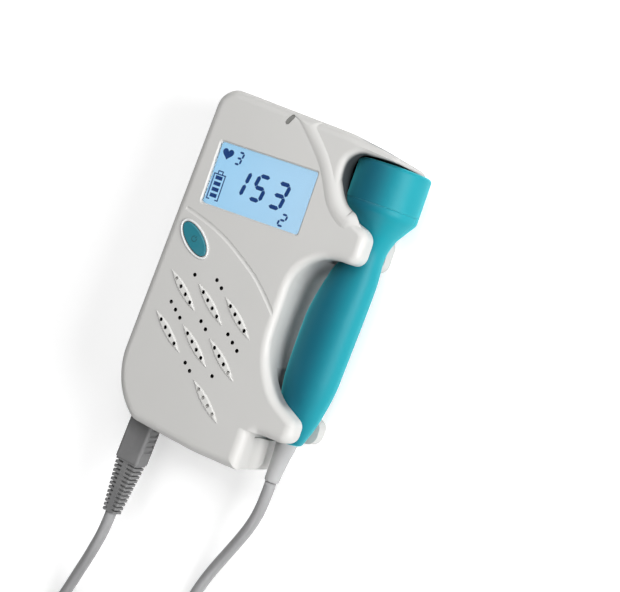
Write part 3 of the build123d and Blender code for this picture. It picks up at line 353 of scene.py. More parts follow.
def components(tree, vector):
    """X, Y and Z of a vector."""
    node = tree.nodes.new("ShaderNodeSeparateXYZ")
    tree.links.new(vector, node.inputs[0])
    return tuple(node.outputs)


def dot_product(tree, first, second):
    """Dot product of a vector socket and a socket or three numbers."""
    node = add_node(tree, "ShaderNodeVectorMath", operation="DOT_PRODUCT")
    tree.links.new(first, node.inputs[0])
    if isinstance(second, tuple):
        node.inputs[1].default_value = second
    else:
        tree.links.new(second, node.inputs[1])
    return node.outputs["Value"]


def noise(tree, place, scale, **settings):
    """Noise from 0 to 1, with a scale per metre."""
    node = add_node(tree, "ShaderNodeTexNoise", **settings)
    tree.links.new(place, node.inputs["Vector"])
    feed(tree, scale, node.inputs["Scale"])
    return node.outputs["Fac"]


def math_node(tree, operation, first, second=0.0, clamp=False):
    """A Math node whose inputs are sockets or numbers."""
    node = add_node(tree, "ShaderNodeMath", operation=operation, use_clamp=clamp)
    feed(tree, first, node.inputs[0])
    feed(tree, second, node.inputs[1])
    return node.outputs[0]


def product(tree, *values):
    """All the values multiplied together."""
    result = values[0]
    for value in values[1:]:
        result = math_node(tree, "MULTIPLY", result, value)
    return result


def distance_from(tree, first, second, at):
    """Distance of two coordinate sockets from a point in millimetres."""
    apart = [math_node(tree, "SUBTRACT", socket, c * MM) for socket, c in zip((first, second), at)]
    squares = [math_node(tree, "MULTIPLY", value, value) for value in apart]
    return math_node(tree, "SQRT", math_node(tree, "ADD", *squares))


def map_range(tree, value, source, target=(0.0, 1.0), kind="LINEAR"):
    """Maps the source's two ends onto the target's, and holds what is past them."""
    node = add_node(tree, "ShaderNodeMapRange", interpolation_type=kind)
    tree.links.new(value, node.inputs["Value"])
    for name, end in zip(("From Min", "From Max", "To Min", "To Max"), (*source, *target)):
        node.inputs[name].default_value = end
    return node.outputs["Result"]


def ramp(tree, value, low, high):
    """0 at low and 1 at high, both in millimetres, with a smooth step between."""
    return map_range(tree, value, (low * MM, high * MM), kind="SMOOTHSTEP")


def spread(tree, value, low, high):
    """Maps noise, which mostly lies between 0.3 and 0.7, onto low to high."""
    return map_range(tree, value, (0.3, 0.7), (low, high))


def blend_colours(tree, factor, first, second, kind="MIX"):
    """Mixes two colours, each a socket or a plain colour, by a mask or a number."""
    mix = add_node(tree, "ShaderNodeMix", data_type="RGBA", blend_type=kind)
    for name, value in (("Factor", factor), ("A", first), ("B", second)):
        feed(tree, value, mix.inputs[name])
    return mix.outputs["Result"]


# ---------------------------------------------------------------- groups
SPEAKER = (-14.2, -22.0)  # centre of the sound holes that go through
GRILLE_R = 21.5
HOLE_LOW = 33.0
HOLE_HIGH = 34.8
RIDGE_MIDDLE = (29.6, 34.4)
PROBE_X = 33.0            # about the middle of the dock
# Spans, in millimetres, along which a mask of painted light goes from 0 to 1.
# Painted highlight on what stands proud of the face, which fades near the ridge's end.
PROUD_Z = (FACE_Z + 0.1, FACE_Z + 0.45)
PROUD_APART = (30.0, 50.0)        # from the ridge's end, near which it keeps the shell's own grey
# Painted shade deep in the handle's dock:
DEEP_APART = (22.0, 14.0)         # from the probe's axis
DEEP_X = (PROBE_X, PROBE_X - 6)
DEEP_Y = (-50.0, -42.0)
DEEP_Z = (FACE_Z - 0.5, FACE_Z - 6)
# Painted shade deep in the pocket round the head:
PIT_APART = (26.0, 21.0)          # from the probe's axis
PIT_X = (46.0, 38.0)
PIT_LOW_Y = (36.0, 42.0)
PIT_HIGH_Y = (63.2, 62.2)
PIT_Z = (FACE_Z - 0.4, FACE_Z - 2.4)


def moulded_skin_group():
    """Spark-eroded mould texture: fine grain for the bump and slow clouds for colour and gloss."""
    tree, given, out = new_group(
        "moulded_skin", {"Grain per m": 2200.0, "Cloud per m": 22.0}, ("Grain", "Cloud")
    )
    place = object_place(tree)
    grain = noise(tree, place, given["Grain per m"], Detail=3.0, Roughness=0.6)
    cloud = noise(tree, place, given["Cloud per m"], Detail=4.0, Roughness=0.55)
    tree.links.new(grain, out["Grain"])
    tree.links.new(cloud, out["Cloud"])
    return tree


def handled_edge_group():
    """Mask of edges that hands have polished: where a rounded normal leaves the true one, broken by noise."""
    tree, given, out = new_group("handled_edge", {"Radius": 0.0006, "Amount": 1.0}, ("Mask",))
    rounded = add_node(tree, "ShaderNodeBevel", samples=4)
    tree.links.new(given["Radius"], rounded.inputs["Radius"])
    match = dot_product(tree, rounded.outputs["Normal"], true_normal(tree))
    away = math_node(tree, "SUBTRACT", 1.0, match, clamp=True)
    broken = math_node(tree, "MULTIPLY", away, noise(tree, object_place(tree), 260.0, Detail=4.0))
    strength = math_node(tree, "MULTIPLY", given["Amount"], 6.0)
    tree.links.new(math_node(tree, "MULTIPLY", broken, strength, clamp=True), out["Mask"])
    return tree


def dust_group():
    """Mask of fine dust that settles on faces that look up, in uneven drifts."""
    tree, given, out = new_group("settled_dust", {"Amount": 0.3}, ("Mask",))
    clouds = noise(tree, object_place(tree), 70.0, Detail=6.0, Roughness=0.65)
    drift = math_node(tree, "MULTIPLY", math_node(tree, "SUBTRACT", clouds, 0.45, clamp=True), 2.0)
    level = math_node(tree, "MAXIMUM", components(tree, true_normal(tree))[2])
    settled = math_node(tree, "MULTIPLY", drift, level)
    tree.links.new(math_node(tree, "MULTIPLY", settled, given["Amount"], clamp=True), out["Mask"])
    return tree


def shell_places_group():
    """Masks from place alone, for painted light: painted shade on the sound holes' walls, a painted highlight
    on what stands proud of the face, and painted shade deep in the handle's dock and in the head's pit."""
    tree, _, out = new_group("shell_painted_light", {}, ("Hole_shade", "Proud_highlight", "Deep_shade", "Pit_shade"))
    x, y, z = components(tree, object_place(tree))
    from_axis = distance_from(tree, x, z, (PROBE_X, AXIS_Z))
    masks = {
        # Painted shade: the walls of the sound holes that go through are drawn near black.
        "Hole_shade": (
            math_node(tree, "GREATER_THAN", z, HOLE_LOW * MM),
            math_node(tree, "LESS_THAN", z, HOLE_HIGH * MM),
            math_node(tree, "LESS_THAN", distance_from(tree, x, y, SPEAKER), GRILLE_R * MM),
        ),
        # Painted highlight: what stands proud of the face is drawn lighter, except near the ridge's end.
        "Proud_highlight": (
            ramp(tree, z, *PROUD_Z),
            ramp(tree, distance_from(tree, x, y, RIDGE_MIDDLE), *PROUD_APART),
        ),
        # Painted shade: darker deep in the handle's dock, beside the probe.
        "Deep_shade": (
            ramp(tree, from_axis, *DEEP_APART),
            ramp(tree, x, *DEEP_X),
            ramp(tree, y, *DEEP_Y),
            ramp(tree, z, *DEEP_Z),
        ),
        # Painted shade: near black deep in the pocket round the head.
        "Pit_shade": (
            ramp(tree, from_axis, *PIT_APART),
            ramp(tree, x, *PIT_X),
            ramp(tree, y, *PIT_LOW_Y),
            ramp(tree, y, *PIT_HIGH_Y),
            ramp(tree, z, *PIT_Z),
        ),
    }
    for name, factors in masks.items():
        tree.links.new(product(tree, *factors), out[name])
    return tree


MOULDED_SKIN = moulded_skin_group()
HANDLED_EDGE = handled_edge_group()
SETTLED_DUST = dust_group()
SHELL_PAINTED_LIGHT = shell_places_group()


# ---------------------------------------------------------------- finishes
DUST_GREY = (0.56, 0.55, 0.53)
SHELL_GREY = (0.57, 0.565, 0.55)
# Painted light on the shell: a painted highlight on what stands proud, then painted shade deep in the dock,
# in the head's pit and on the sound holes' walls.
PROUD_HIGHLIGHT = (0.65, 0.645, 0.625)
DEEP_SHADE = (0.23, 0.235, 0.24)
PIT_SHADE = (0.05, 0.055, 0.057)
HOLE_SHADE = (0.012, 0.012, 0.012)
TEAL = (0.008, 0.27, 0.345)
# Painted shade on the probe: its colour is multiplied by the first on the docked side and by the second on
# the open side.
DOCKED_SHADE = (0.85, 0.36, 0.43)
OPEN_SIDE_LIGHT = (1.0, 1.0, 0.95)
OPEN_WAY = (0.9, 0.0, -0.43)      # the way in which the probe's painted shade grows lighter
OPEN_SPAN = (14.0, 31.0)          # along that way
SHEEN = (0.12, 0.9, 1.0)
RESIST_GREEN = (0.02, 0.16, 0.07)
COPPER_GREEN = (0.03, 0.20, 0.09)
TRACK_GREEN = (0.10, 0.30, 0.12)
GLOW_LEFT = (0.34, 0.62, 0.86)
GLOW_RIGHT = (0.42, 0.66, 0.87)
GLOW_CLOUD = (0.55, 0.78, 0.95)
BLACK = (0.0, 0.0, 0.0)
WHITE = (1.0, 1.0, 1.0)
VARIATION = 0.03          # how far the clouds make plastic lighter and darker
WORN_FACTOR = 1.12        # polished edges are lighter by this factor
WORN_LIFT = 0.03          # and this much more
GLOSS_SPAN = (-0.05, 0.06)        # how far the clouds change the roughness of plastic
GRAIN_DEEP = 0.0002       # metres
STREAK_SCALE = (3000.0, 300.0, 3000.0)
STREAK_DARK = 0.85
STREAK_ROUGH = 0.15


def scaled(colour, factor, lift=0.0):
    """A colour made lighter or darker, but no lighter than white."""
    return tuple(min(1.0, c * factor + lift) for c in colour)


def moulded(name, colour, roughness, grain=0.12, grain_per_m=2200.0, wear=0.5, dust=0.15):
    """Moulded plastic or rubber: cloudy colour, fine grain, polished edges and a little dust."""
    shader = Shader(name)
    tree = shader.tree
    skin = shader.group(MOULDED_SKIN, Grain_per_m=grain_per_m).outputs
    edge = shader.group(HANDLED_EDGE, Amount=wear).outputs["Mask"]
    settled = shader.group(SETTLED_DUST, Amount=dust).outputs["Mask"]
    body = blend_colours(tree, skin["Cloud"], scaled(colour, 1 - VARIATION), scaled(colour, 1 + VARIATION))
    body = blend_colours(tree, edge, body, scaled(colour, WORN_FACTOR, WORN_LIFT))
    body = blend_colours(tree, settled, body, DUST_GREY)
    gloss = spread(tree, skin["Cloud"], *(roughness + change for change in GLOSS_SPAN))
    shader.set(Base_Color=body, Roughness=gloss)
    shader.bump(skin["Grain"], grain, GRAIN_DEEP)
    return shader


def brushed(name, colour, roughness):
    """Plated or turned metal with fine streaks."""
    shader = Shader(name)
    tree = shader.tree
    stretch = add_node(tree, "ShaderNodeMapping", Scale=STREAK_SCALE)
    tree.links.new(object_place(tree), stretch.inputs["Vector"])
    streaks = noise(tree, stretch.outputs["Vector"], 1.0, Detail=3.0)
    shader.set(
        Metallic=1.0,
        Base_Color=blend_colours(tree, streaks, scaled(colour, STREAK_DARK), colour),
        Roughness=spread(tree, streaks, roughness, roughness + STREAK_ROUGH),
    )
    return shader


def shell_plastic():
    """The shells' moulded plastic with painted light: a painted highlight where it stands proud, painted
    shade deep in the dock, in the head's pit and on the sound holes' walls.
    """
    shader = moulded("shell_plastic", SHELL_GREY, 0.42, grain=0.10, wear=0.6)
    places = shader.group(SHELL_PAINTED_LIGHT).outputs
    body = shader.colour()
    # Painted highlight on what stands proud, painted shade deep in the dock, in the head's pit and on the
    # holes' walls.
    for mask, grey in (("Proud_highlight", PROUD_HIGHLIGHT), ("Deep_shade", DEEP_SHADE), ("Pit_shade", PIT_SHADE), ("Hole_shade", HOLE_SHADE)):
        body = blend_colours(shader.tree, places[mask], body, grey)
    shader.set(Base_Color=body)
    return shader


def probe_plastic():
    """The probe's satin plastic: painted shade on the docked side that grows lighter towards the open side,
    and a faint sheen where it turns away.
    """
    shader = moulded("probe_plastic", TEAL, 0.40, grain=0.05, wear=0.6, dust=0.015)
    tree = shader.tree
    # Painted shade: darker on the docked side, lighter towards the open side.
    lit_side = ramp(tree, dot_product(tree, object_place(tree), OPEN_WAY), *OPEN_SPAN)
    painted_shade = blend_colours(tree, lit_side, DOCKED_SHADE, OPEN_SIDE_LIGHT)
    shader.set(
        Base_Color=blend_colours(tree, 1.0, shader.colour(), painted_shade, kind="MULTIPLY"),
        Specular_IOR_Level=0.15, Sheen_Weight=0.9, Sheen_Roughness=0.45, Sheen_Tint=SHEEN,
    )
    return shader


def circuit_board():
    """Green solder mask with a faint net of tracks."""
    shader = moulded("circuit_board", RESIST_GREEN, 0.35, grain=0.05, dust=0.0)
    tracks = add_node(shader.tree, "ShaderNodeTexBrick", Scale=220.0)
    tracks.inputs["Mortar Size"].default_value = 0.012
    shader.tree.links.new(object_place(shader.tree), tracks.inputs["Vector"])
    for name, colour in (("Color1", RESIST_GREEN), ("Color2", COPPER_GREEN), ("Mortar", TRACK_GREEN)):
        feed(shader.tree, colour, tracks.inputs[name])
    shader.set(Base_Color=tracks.outputs["Color"])
    return shader


def lit_display():
    """Backlit display glass: pale blue light that grows a little paler to the right, with slow clouds."""
    shader = Shader("lit_display")
    tree = shader.tree
    low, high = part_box("lcd_panel")
    place = object_place(tree)
    pale_x = low[0] + (high[0] - low[0]) * 0.9
    across = map_range(tree, components(tree, place)[0], (low[0], pale_x))
    clouds = spread(tree, noise(tree, place, 40.0, Detail=2.0), 0.0, 0.12)
    glow = blend_colours(tree, clouds, blend_colours(tree, across, GLOW_LEFT, GLOW_RIGHT), GLOW_CLOUD)
    shader.set(Base_Color=(0.03, 0.06, 0.09), Emission_Color=glow, Emission_Strength=0.93, Roughness=0.35)
    return shader


def display_ink():
    """Dark blue segments: the little backlight that they let through varies with the cell's clouds."""
    shader = Shader("display_ink")
    clouds = shader.group(MOULDED_SKIN, Cloud_per_m=150.0).outputs["Cloud"]
    glow = blend_colours(shader.tree, clouds, (0.010, 0.036, 0.150), (0.016, 0.056, 0.210))
    shader.set(Base_Color=(0.004, 0.01, 0.03), Emission_Color=glow, Emission_Strength=0.9)
    shader.set(Roughness=0.6, Specular_IOR_Level=0.1)
    return shader


def clear_window():
    """Clear acrylic pane with a hint of waviness; its edges, which don't face up or down, are matt."""
    shader = Shader("clear_window")
    tree = shader.tree
    level = math_node(tree, "ABSOLUTE", components(tree, true_normal(tree))[2])
    matt = map_range(tree, level, (0.9, 0.5), (0.02, 0.9))
    shader.set(Base_Color=(0.97, 0.99, 1.0), Transmission_Weight=1.0, IOR=1.2)
    shader.set(Roughness=matt, Specular_IOR_Level=0.15)
    shader.bump(noise(tree, object_place(tree), 60.0, Detail=1.0), 0.02, 0.0001)
    return shader


FINISH = {
    "shell": shell_plastic(),
    "bezel": moulded("bezel_plastic", (0.70, 0.71, 0.71), 0.3, grain=0.04),
    "teal": probe_plastic(),
    "face": moulded("acoustic_face", (0.02, 0.20, 0.24), 0.4, grain=0.05),
    "button": moulded("button_plastic", (0.02, 0.19, 0.245), 0.45, grain=0.05, wear=0.6),
    "mark": moulded("button_mark", (0.012, 0.09, 0.11), 0.5, grain=0.03),
    "plug": moulded("plug_rubber", (0.17, 0.17, 0.172), 0.48, grain=0.2, grain_per_m=1600.0),
    "sleeve": moulded("sleeve_rubber", (0.40, 0.402, 0.405), 0.42, grain=0.08),
    "black": moulded("black_plastic", (0.02, 0.02, 0.022), 0.45),
    "foam": moulded("foam", (0.015, 0.015, 0.015), 0.9, grain=0.5),
    "white": moulded("white_plastic", (0.75, 0.76, 0.77), 0.4),
    "cell": moulded("cell_wrap", (0.10, 0.12, 0.16), 0.3),
    "pipe": moulded("light_pipe", (0.20, 0.20, 0.19), 0.25, grain=0.02),
    "ink": display_ink(),
    "steel": brushed("plated_steel", (0.60, 0.60, 0.60), 0.28),
    "gold": brushed("gold_contact", (0.80, 0.58, 0.25), 0.22),
    "crystal": brushed("silvered_crystal", (0.70, 0.68, 0.60), 0.35),
    "board": circuit_board(),
    "display": lit_display(),
    "window": clear_window(),
    "lead": moulded("lead_jacket", (0.31, 0.31, 0.315), 0.42, grain=0.06, wear=0.0, dust=0.1),
}
NODE_FINISH = {
    "shell": ("front_shell", "back_shell", "battery_cover"),
    "window": ("display_window",),
    "display": ("lcd_panel",),
    "white": ("backlight_guide", "lcd_frame", "switch_plunger"),
    "board": ("main_board", "probe_board"),
    "foam": ("speaker_gasket",),
    "button": ("power_button",),
    "pipe": ("indicator_lens",),
    "steel": ("volume_pot", "battery_contacts", "shell_screws"),
    "cell": ("battery_cells",),
    "teal": ("probe_front_half", "probe_back_half", "probe_head_cap"),
    "face": ("probe_face",),
    "crystal": ("transducer_discs",),
    "sleeve": ("probe_sleeve",),
    "gold": ("plug_pins",),
    "plug": ("plug_boot",),
    "black": (
        "board_chips", "speaker", "button_switch", "volume_wheel", "headphone_socket", "charger_socket",
        "probe_socket", "crystal_holder", "plug_nose",
    ),
}


def paint(obj, finish):
    """Puts one finish on every slot of a piece."""
    slots = obj.data.materials
    if not slots:
        slots.append(None)
    for index in range(len(slots)):
        slots[index] = FINISH[finish].material
    return obj


for finish, nodes in NODE_FINISH.items():
    for node in nodes:
        paint(NODES[node], finish)
paint(LEAD, "lead")


# ---------------------------------------------------------------- probe skin
# Along Y: the handle's middle in X, and half its width and half its depth.
HANDLE_KEYS = np.array([
    (TAIL_Y, 29.6, 5.6, 5.6),
    (-43.0, 30.4, 8.9, 7.8),
    (-27.0, 30.5, 11.3, 9.2),
    (-6.0, 31.0, 11.6, 9.4),
    (14.0, 33.2, 10.0, 8.5),
    (25.5, HEAD_X, 7.5, 7.5),
    (32.8, HEAD_X, 9.1, 9.1),
    (38.4, HEAD_X, 12.4, 12.4),
    (43.2, HEAD_X, HEAD_R, HEAD_R),
    (CAP_Y, HEAD_X, HEAD_R, HEAD_R),
])
HANDLE_WALL = 1.6
HANDLE_EDGE = 0.12        # rounding of the handle's seams
TAIL_LONG = 1.4           # length of the tail's rounding
TAIL_TUCK = 1.2           # how far the tail draws in
SEAM_STEP = 0.14          # how far the handle lies below the head ring
SEAM_SPAN = (-0.35, -0.05)        # from the seam, where it steps down
SEAM_GAP = 0.006          # radians left open on each side of the parting line


def through(keys, at):
    """Monotone cubic line through keys: slopes are the harmonic mean of the chords beside each key."""
    x, y = keys[:, 0], keys[:, 1]
    step = np.diff(x)
    chord = np.diff(y) / step
    product_of_chords = chord[:-1] * chord[1:]
    total = np.where(product_of_chords > 0, chord[:-1] + chord[1:], 1.0)
    inner = np.where(product_of_chords > 0, 2 * product_of_chords / total, 0.0)
    slope = np.concatenate([[chord[0]], inner, [chord[-1]]])
    index = np.clip(np.searchsorted(x, at, side="right") - 1, 0, len(step) - 1)
    t = (at - x[index]) / step[index]
    value = (2 * t**3 - 3 * t**2 + 1) * y[index] + (t**3 - 2 * t**2 + t) * step[index] * slope[index]
    value += (3 * t**2 - 2 * t**3) * y[index + 1] + (t**3 - t**2) * step[index] * slope[index + 1]
    return value


def probe_half(name, side):
    """Half of the handle: half ellipses whose centre and half axes run along Y as smooth lines, from
    the rounded tail to a small step at the head ring."""
    tail = np.linspace(TAIL_Y, TAIL_Y + 5.4, 12)
    long = np.linspace(TAIL_Y + 5.9, CAP_Y - 0.5, 150)
    y = np.concatenate([tail, long, [CAP_Y - 0.2, CAP_Y + SEAM_SPAN[1]]])
    centre, wide, deep = (through(HANDLE_KEYS[:, [0, column]], y) for column in (1, 2, 3))
    tuck = TAIL_TUCK * quarter_round((y - TAIL_Y) / TAIL_LONG)
    step = np.interp(y - CAP_Y, SEAM_SPAN, (0, SEAM_STEP))
    wide = wide - tuck - step
    deep = deep - tuck - step
    angle = side * np.linspace(SEAM_GAP, math.pi - SEAM_GAP, 61)
    x = centre[:, None] + wide[:, None] * np.cos(angle)
    z = AXIS_Z + deep[:, None] * np.sin(angle)
    return outward(link(name, level_rings(x, y, z).reshape(-1, 3), grid_faces(*x.shape)))


def facing_out(obj, x, z):
    """Turns an open surface so that its faces look away from the line x, z that runs along Y."""
    mesh = obj.data
    one = mesh.polygons[len(mesh.polygons) // 2]
    away = Vector((one.center.x - x * MM, 0, one.center.z - z * MM))
    if one.normal.dot(away) < 0:
        mesh.flip_normals()
    return obj


HALVES = (("handle_front", 1, "probe_front_half"), ("handle_back", -1, "probe_back_half"))
for name, side, node in HALVES:
    half = facing_out(probe_half(name, side), HANDLE_X, AXIS_Z)
    soften(thicken(half, HANDLE_WALL), HANDLE_EDGE)
    paint(half, "teal")
    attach(half, "probe")
    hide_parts(node)


SLEEVE_START = (29.4, TAIL_Y + 0.8)
SLEEVE_END = (28.3, -72.5)
SLEEVE_R = 4.5
SLEEVE_TAPER = 1.5
SLEEVE_WAIST = 0.25       # how far the middle draws in
SLEEVE_LIP = 0.6          # rounding of the far end
SLEEVE_LIP_SHARE = 0.05   # of its length


def sleeve():
    """Lead sleeve: circles whose centre runs from the tail to the lead, with a tapering, slightly waisted
    radius and a soft lip at the far end."""
    share = np.linspace(0, 1, 60)
    centre_x, y = (start + (end - start) * share for start, end in zip(SLEEVE_START, SLEEVE_END))
    radius = SLEEVE_R - SLEEVE_TAPER * share - SLEEVE_WAIST * np.sin(math.pi * share)
    radius = radius - SLEEVE_LIP * quarter_round((1 - share) / SLEEVE_LIP_SHARE)
    angle = np.linspace(0, 2 * math.pi, 48, endpoint=False)
    x = centre_x[:, None] + radius[:, None] * np.cos(angle)
    z = AXIS_Z + radius[:, None] * np.sin(angle)
    return closed_tube("lead_sleeve", level_rings(x, y, z))


SLEEVE = sleeve()
paint(SLEEVE, "sleeve")
soften(SLEEVE, 0.15)
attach(SLEEVE, "probe")
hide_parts("probe_sleeve")


# ---------------------------------------------------------------- ridge tail
RIDGE_END = (29.64, 34.51)
RIDGE_ALONG = (0.9435, -0.3314)
RIDGE_R = 7.0
RIDGE_RISE = 0.45
RIDGE_BELOW = 0.04        # the tail starts this far below the ridge
TAIL_BACK = -1.2          # and this far before its end
TAIL_LENGTH = 7.0
TAIL_SINK = 1.8
TAIL_LEFT = -2.6
TAIL_RIGHT = 5.0
TAIL_DRAW_IN = 2.9
TAIL_FOOT_Z = 33.24       # within the shell's wall


def ridge_tail():
    """Where the raised line meets the finger: the ridge's own round profile starts just under its end,
    runs straight on, sinks into the shell with a smooth step and draws in from the recess."""
    distance = np.concatenate([[TAIL_BACK], np.linspace(-0.4, TAIL_LENGTH, 36)])
    sink = smooth_step(distance / TAIL_LENGTH)
    left = np.full(len(sink), TAIL_LEFT)
    right = TAIL_RIGHT - TAIL_DRAW_IN * sink
    offset = left[:, None] + (right - left)[:, None] * np.linspace(0, 1, 25)
    crown = FACE_Z + RIDGE_RISE - RIDGE_R - RIDGE_BELOW - TAIL_SINK * sink[:, None]
    top = crown + np.sqrt(RIDGE_R**2 - offset**2)
    foot = np.minimum(TAIL_FOOT_Z, top.min(axis=1) - 0.1)[:, None]
    offset = np.column_stack([offset, right, left])
    height = np.column_stack([top, foot, foot])
    x = RIDGE_END[0] + RIDGE_ALONG[0] * distance[:, None] - RIDGE_ALONG[1] * offset
    y = RIDGE_END[1] + RIDGE_ALONG[1] * distance[:, None] + RIDGE_ALONG[0] * offset
    return closed_tube("ridge_tail", np.stack([x, y, height], axis=-1))


TAIL = ridge_tail()
paint(TAIL, "shell")
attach(TAIL, "housing")


# ---------------------------------------------------------------- display symbols
SYMBOL_Z = 31.23          # just above the display glass
INK_THICK = 0.02
BOLD = 1.7                # widths of the large and the small figures' bars
FINE = 0.85
SLANT = 0.17              # sideways lean of the figures per height
BAR_GAP = 0.16            # left open at each end of a bar
# Both ends of each bar, as shares of a figure's width and height.
SEGMENTS = {
    "top": (0, 1, 1, 1),
    "upper_right": (1, 1, 1, 0.5),
    "lower_right": (1, 0.5, 1, 0),
    "bottom": (0, 0, 1, 0),
    "lower_left": (0, 0.5, 0, 0),
    "upper_left": (0, 1, 0, 0.5),
    "middle": (0, 0.5, 1, 0.5),
}
DIGITS = {
    1: ("upper_right", "lower_right"),
    2: ("top", "upper_right", "middle", "lower_left", "bottom"),
    3: ("top", "upper_right", "middle", "lower_right", "bottom"),
    5: ("top", "upper_left", "middle", "lower_right", "bottom"),
}
# Value, left, foot, width, height and bar width of each figure.
FIGURES = (
    (3, -26.5, 42.7, 2.3, 4.9, FINE),
    (1, -23.8, 31.1, 4.4, 10.3, BOLD),
    (5, -15.1, 31.4, 4.7, 10.0, BOLD),
    (3, -5.8, 31.1, 4.9, 10.0, BOLD),
    (2, 0.6, 25.0, 2.5, 4.7, FINE),
)
HEART = (-30.6, 45.6, 5.2)
BATTERY = (-33.8, -28.1, 25.8, 36.8)
BATTERY_LINE = 0.5
BATTERY_LIP = 1.6         # how far the outline turns in at its open foot
NUB_HALF = 1.3
NUB_HIGH = 1.4
CHARGE_BARS = 4
CHARGE_FOOT = 1.2
CHARGE_PITCH = 2.45
CHARGE_HALF = 1.6
CHARGE_HIGH = 1.6


def segment(start, end, width):
    """One display bar: a long hexagon between two points."""
    start, end = np.array(start, float), np.array(end, float)
    along = (end - start) / np.linalg.norm(end - start)
    side = np.array([-along[1], along[0]]) * width / 2
    start, end = start + along * BAR_GAP, end - along * BAR_GAP
    tip = along * width / 2
    return [start, start + tip + side, end - tip + side, end, end - tip - side, start + tip - side]


def digit(value, left, low, wide, high, width):
    """A seven-segment figure that leans to the right."""
    shapes = []
    for name in DIGITS[value]:
        x0, y0, x1, y1 = SEGMENTS[name]
        ends = [(left + wide * x + SLANT * high * y, low + high * y) for x, y in ((x0, y0), (x1, y1))]
        shapes.append(segment(*ends, width))
    return shapes


def rectangle(x0, x1, y0, y1):
    """Corners of an upright rectangle."""
    return [(x0, y0), (x1, y0), (x1, y1), (x0, y1)]


def heart(centre_x, centre_y, size):
    """A heart: x is the cube of the sine, y a sum of four cosines."""
    t = np.linspace(0, 2 * np.pi, 48, endpoint=False)
    x = np.sin(t) ** 3
    y = (13 * np.cos(t) - 5 * np.cos(2 * t) - 2 * np.cos(3 * t) - np.cos(4 * t)) / 16
    return np.stack([centre_x + size / 2 * x, centre_y + size / 2 * y], axis=-1)


def battery_sign():
    """Battery outline, open at its foot, with its nub and the charge's bars."""
    x0, x1, y0, y1 = BATTERY
    line = BATTERY_LINE
    middle = (x0 + x1) / 2
    nub_left, nub_right, nub_top = middle - NUB_HALF, middle + NUB_HALF, y1 + NUB_HIGH
    shapes = [
        rectangle(x0, x0 + line, y0, y1),
        rectangle(x1 - line, x1, y0, y1),
        rectangle(x0, x1, y1 - line, y1),
        rectangle(x0, x0 + BATTERY_LIP, y0, y0 + line),
        rectangle(x1 - BATTERY_LIP, x1, y0, y0 + line),
        rectangle(nub_left, nub_left + line, y1, nub_top),
        rectangle(nub_right - line, nub_right, y1, nub_top),
        rectangle(nub_left, nub_right, nub_top - line, nub_top),
    ]
    for k in range(CHARGE_BARS):
        low = y0 + CHARGE_FOOT + CHARGE_PITCH * k
        shapes.append(rectangle(middle - CHARGE_HALF, middle + CHARGE_HALF, low, low + CHARGE_HIGH))
    return shapes


def display_symbols():
    """Heart, level, battery and reading, printed on the display glass."""
    shapes = [heart(*HEART), *battery_sign()]
    for figure in FIGURES:
        shapes += digit(*figure)
    points = np.vstack([np.column_stack([s, np.full(len(s), SYMBOL_Z)]) for s in shapes])
    starts = np.cumsum([0] + [len(s) for s in shapes])
    faces = [list(range(a, b)) for a, b in zip(starts, starts[1:])]
    return thicken(link("display_symbols", points, faces, smooth=False), INK_THICK, offset=1.0)


SYMBOLS = display_symbols()
paint(SYMBOLS, "ink")
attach(SYMBOLS, "housing")


# ---------------------------------------------------------------- button trim
BUTTON = (-30.7, 8.8)
BUTTON_A = 8.3
BUTTON_B = 3.6
BUTTON_TURN = math.radians(-37.5)
BEZEL_MIDDLE = 0.8        # from the cap's edge
BEZEL_HALF = 0.5
BEZEL_RISE = 0.5
BEZEL_FOOT = 0.05         # above the face
MARK_ENDS = (125, 415)    # degrees
MARK_OUTER = 1.3
MARK_INNER = 0.95
MARK_BAR = (-0.17, 0.17, 0.4, 1.5)
MARK_RISE = 0.41          # above the face
MARK_THICK = 0.02


def at_button(points):
    """Turns and carries points drawn round the button's centre to their place."""
    c, s = math.cos(BUTTON_TURN), math.sin(BUTTON_TURN)
    x = BUTTON[0] + c * points[..., 0] - s * points[..., 1]
    y = BUTTON[1] + s * points[..., 0] + c * points[..., 1]
    return np.stack([x, y, points[..., 2]], axis=-1)


def button_bezel():
    """Rounded oval ring: at each angle a half circle stands on the front face, outside the cap."""
    around = np.linspace(0, 2 * np.pi, 96, endpoint=False)[:, None]
    over = np.linspace(0, np.pi, 13)
    grow = BEZEL_MIDDLE - BEZEL_HALF * np.cos(over)
    x = (BUTTON_A + grow) * np.cos(around)
    y = (BUTTON_B + grow) * np.sin(around)
    z = np.broadcast_to(FACE_Z + BEZEL_FOOT + BEZEL_RISE * np.sin(over), x.shape)
    ring = at_button(np.stack([x, y, z], axis=-1))
    ring = np.concatenate([ring, ring[:1]])
    return outward(link("button_bezel", ring.reshape(-1, 3), grid_faces(*ring.shape[:2], wrap=True)))


def power_mark():
    """Standby sign: four fifths of a ring with a bar in its gap."""
    angle = np.radians(np.linspace(*MARK_ENDS, 48))
    count = len(angle)
    arc = np.stack([np.cos(angle), np.sin(angle)], axis=-1)
    points = np.vstack([arc * MARK_OUTER, arc * MARK_INNER, rectangle(*MARK_BAR)])
    faces = grid_faces(2, count).tolist()
    faces.append(list(range(2 * count, len(points))))
    flat = np.column_stack([points, np.full(len(points), FACE_Z + MARK_RISE)])
    return thicken(link("power_mark", at_button(flat), faces, smooth=False), MARK_THICK, offset=0.0)


BEZEL = button_bezel()
paint(BEZEL, "bezel")
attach(BEZEL, "housing")
MARK = power_mark()
paint(MARK, "mark")
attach(MARK, "power_button")


# ---------------------------------------------------------------- stage and light
FLOOR_HALF = 6000.0
FLOOR_Z = -0.02
FLOOR_GREY = (0.93, 0.93, 0.93)
FLOOR_LIFT = (0.3, 0.3, 0.3)      # glow that the camera alone sees, so that the lit floor is white
FLOOR_SPAN = (300.0, 1200.0)      # distance along which that glow grows to full white
WORLD_LIGHT = 0.26
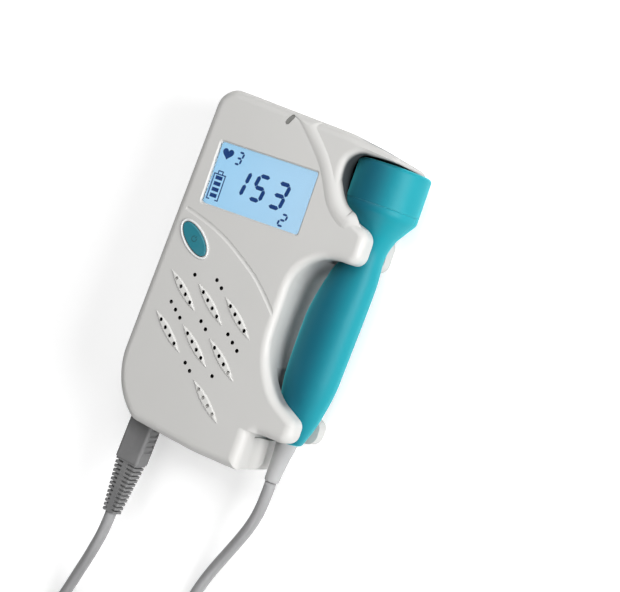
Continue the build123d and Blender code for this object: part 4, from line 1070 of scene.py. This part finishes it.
# Each light's place and the point that it looks at, in metres, its size and its watts.
LIGHTS = {
    "key": ((0.80, 0.06, 0.40), (0.0, 0.0, 0.02), 0.5, 7.8),
    "top": ((0.05, 0.55, 0.78), (0.0, 0.0, 0.0), 0.7, 6.4),
    "fill": ((0.15, -0.80, 0.45), (0.0, 0.0, 0.0), 0.6, 3.2),
}


def floor():
    """A wide pale floor that turns white for the camera where it isn't in shadow."""
    corners = [(*corner, FLOOR_Z) for corner in rectangle(-FLOOR_HALF, FLOOR_HALF, -FLOOR_HALF, FLOOR_HALF)]
    obj = link("floor", corners, [range(len(corners))], smooth=False)
    shader = Shader("floor")
    tree = shader.tree
    x, y, _ = components(tree, object_place(tree))
    away = ramp(tree, distance_from(tree, x, y, (0.0, 0.0)), *FLOOR_SPAN)
    seen = tree.nodes.new("ShaderNodeLightPath").outputs["Is Camera Ray"]
    lift = blend_colours(tree, seen, BLACK, blend_colours(tree, away, FLOOR_LIFT, WHITE))
    shader.set(Base_Color=FLOOR_GREY, Emission_Color=lift, Emission_Strength=1.0)
    shader.set(Roughness=0.6, Specular_IOR_Level=0.0)
    obj.data.materials.append(shader.material)


def area_light(name, place, target, size, watts):
    """A square soft light that looks at a point."""
    data = bpy.data.lights.new(name, "AREA")
    data.energy = watts
    data.size = size
    obj = bpy.data.objects.new(name, data)
    bpy.context.scene.collection.objects.link(obj)
    place = Vector(place)
    turn = (place - Vector(target)).to_track_quat("Z", "Y")
    obj.matrix_world = Matrix.LocRotScale(place, turn, None)


def world():
    """Even white surroundings; camera, mirror and glass rays see plain white."""
    scene_world = bpy.data.worlds.new("studio")
    scene_world.use_nodes = True
    tree = scene_world.node_tree
    path = tree.nodes.new("ShaderNodeLightPath").outputs
    seen = math_node(tree, "MAXIMUM", path["Is Camera Ray"], path["Is Glossy Ray"])
    seen = math_node(tree, "MAXIMUM", seen, path["Is Transmission Ray"])
    strength = map_range(tree, seen, (0.0, 1.0), (WORLD_LIGHT, 1.0))
    tree.links.new(strength, tree.nodes["Background"].inputs["Strength"])
    bpy.context.scene.world = scene_world


floor()
for name, (place, target, size, watts) in LIGHTS.items():
    area_light(name, place, target, size, watts)
world()
bpy.context.scene.view_settings.view_transform = "Standard"
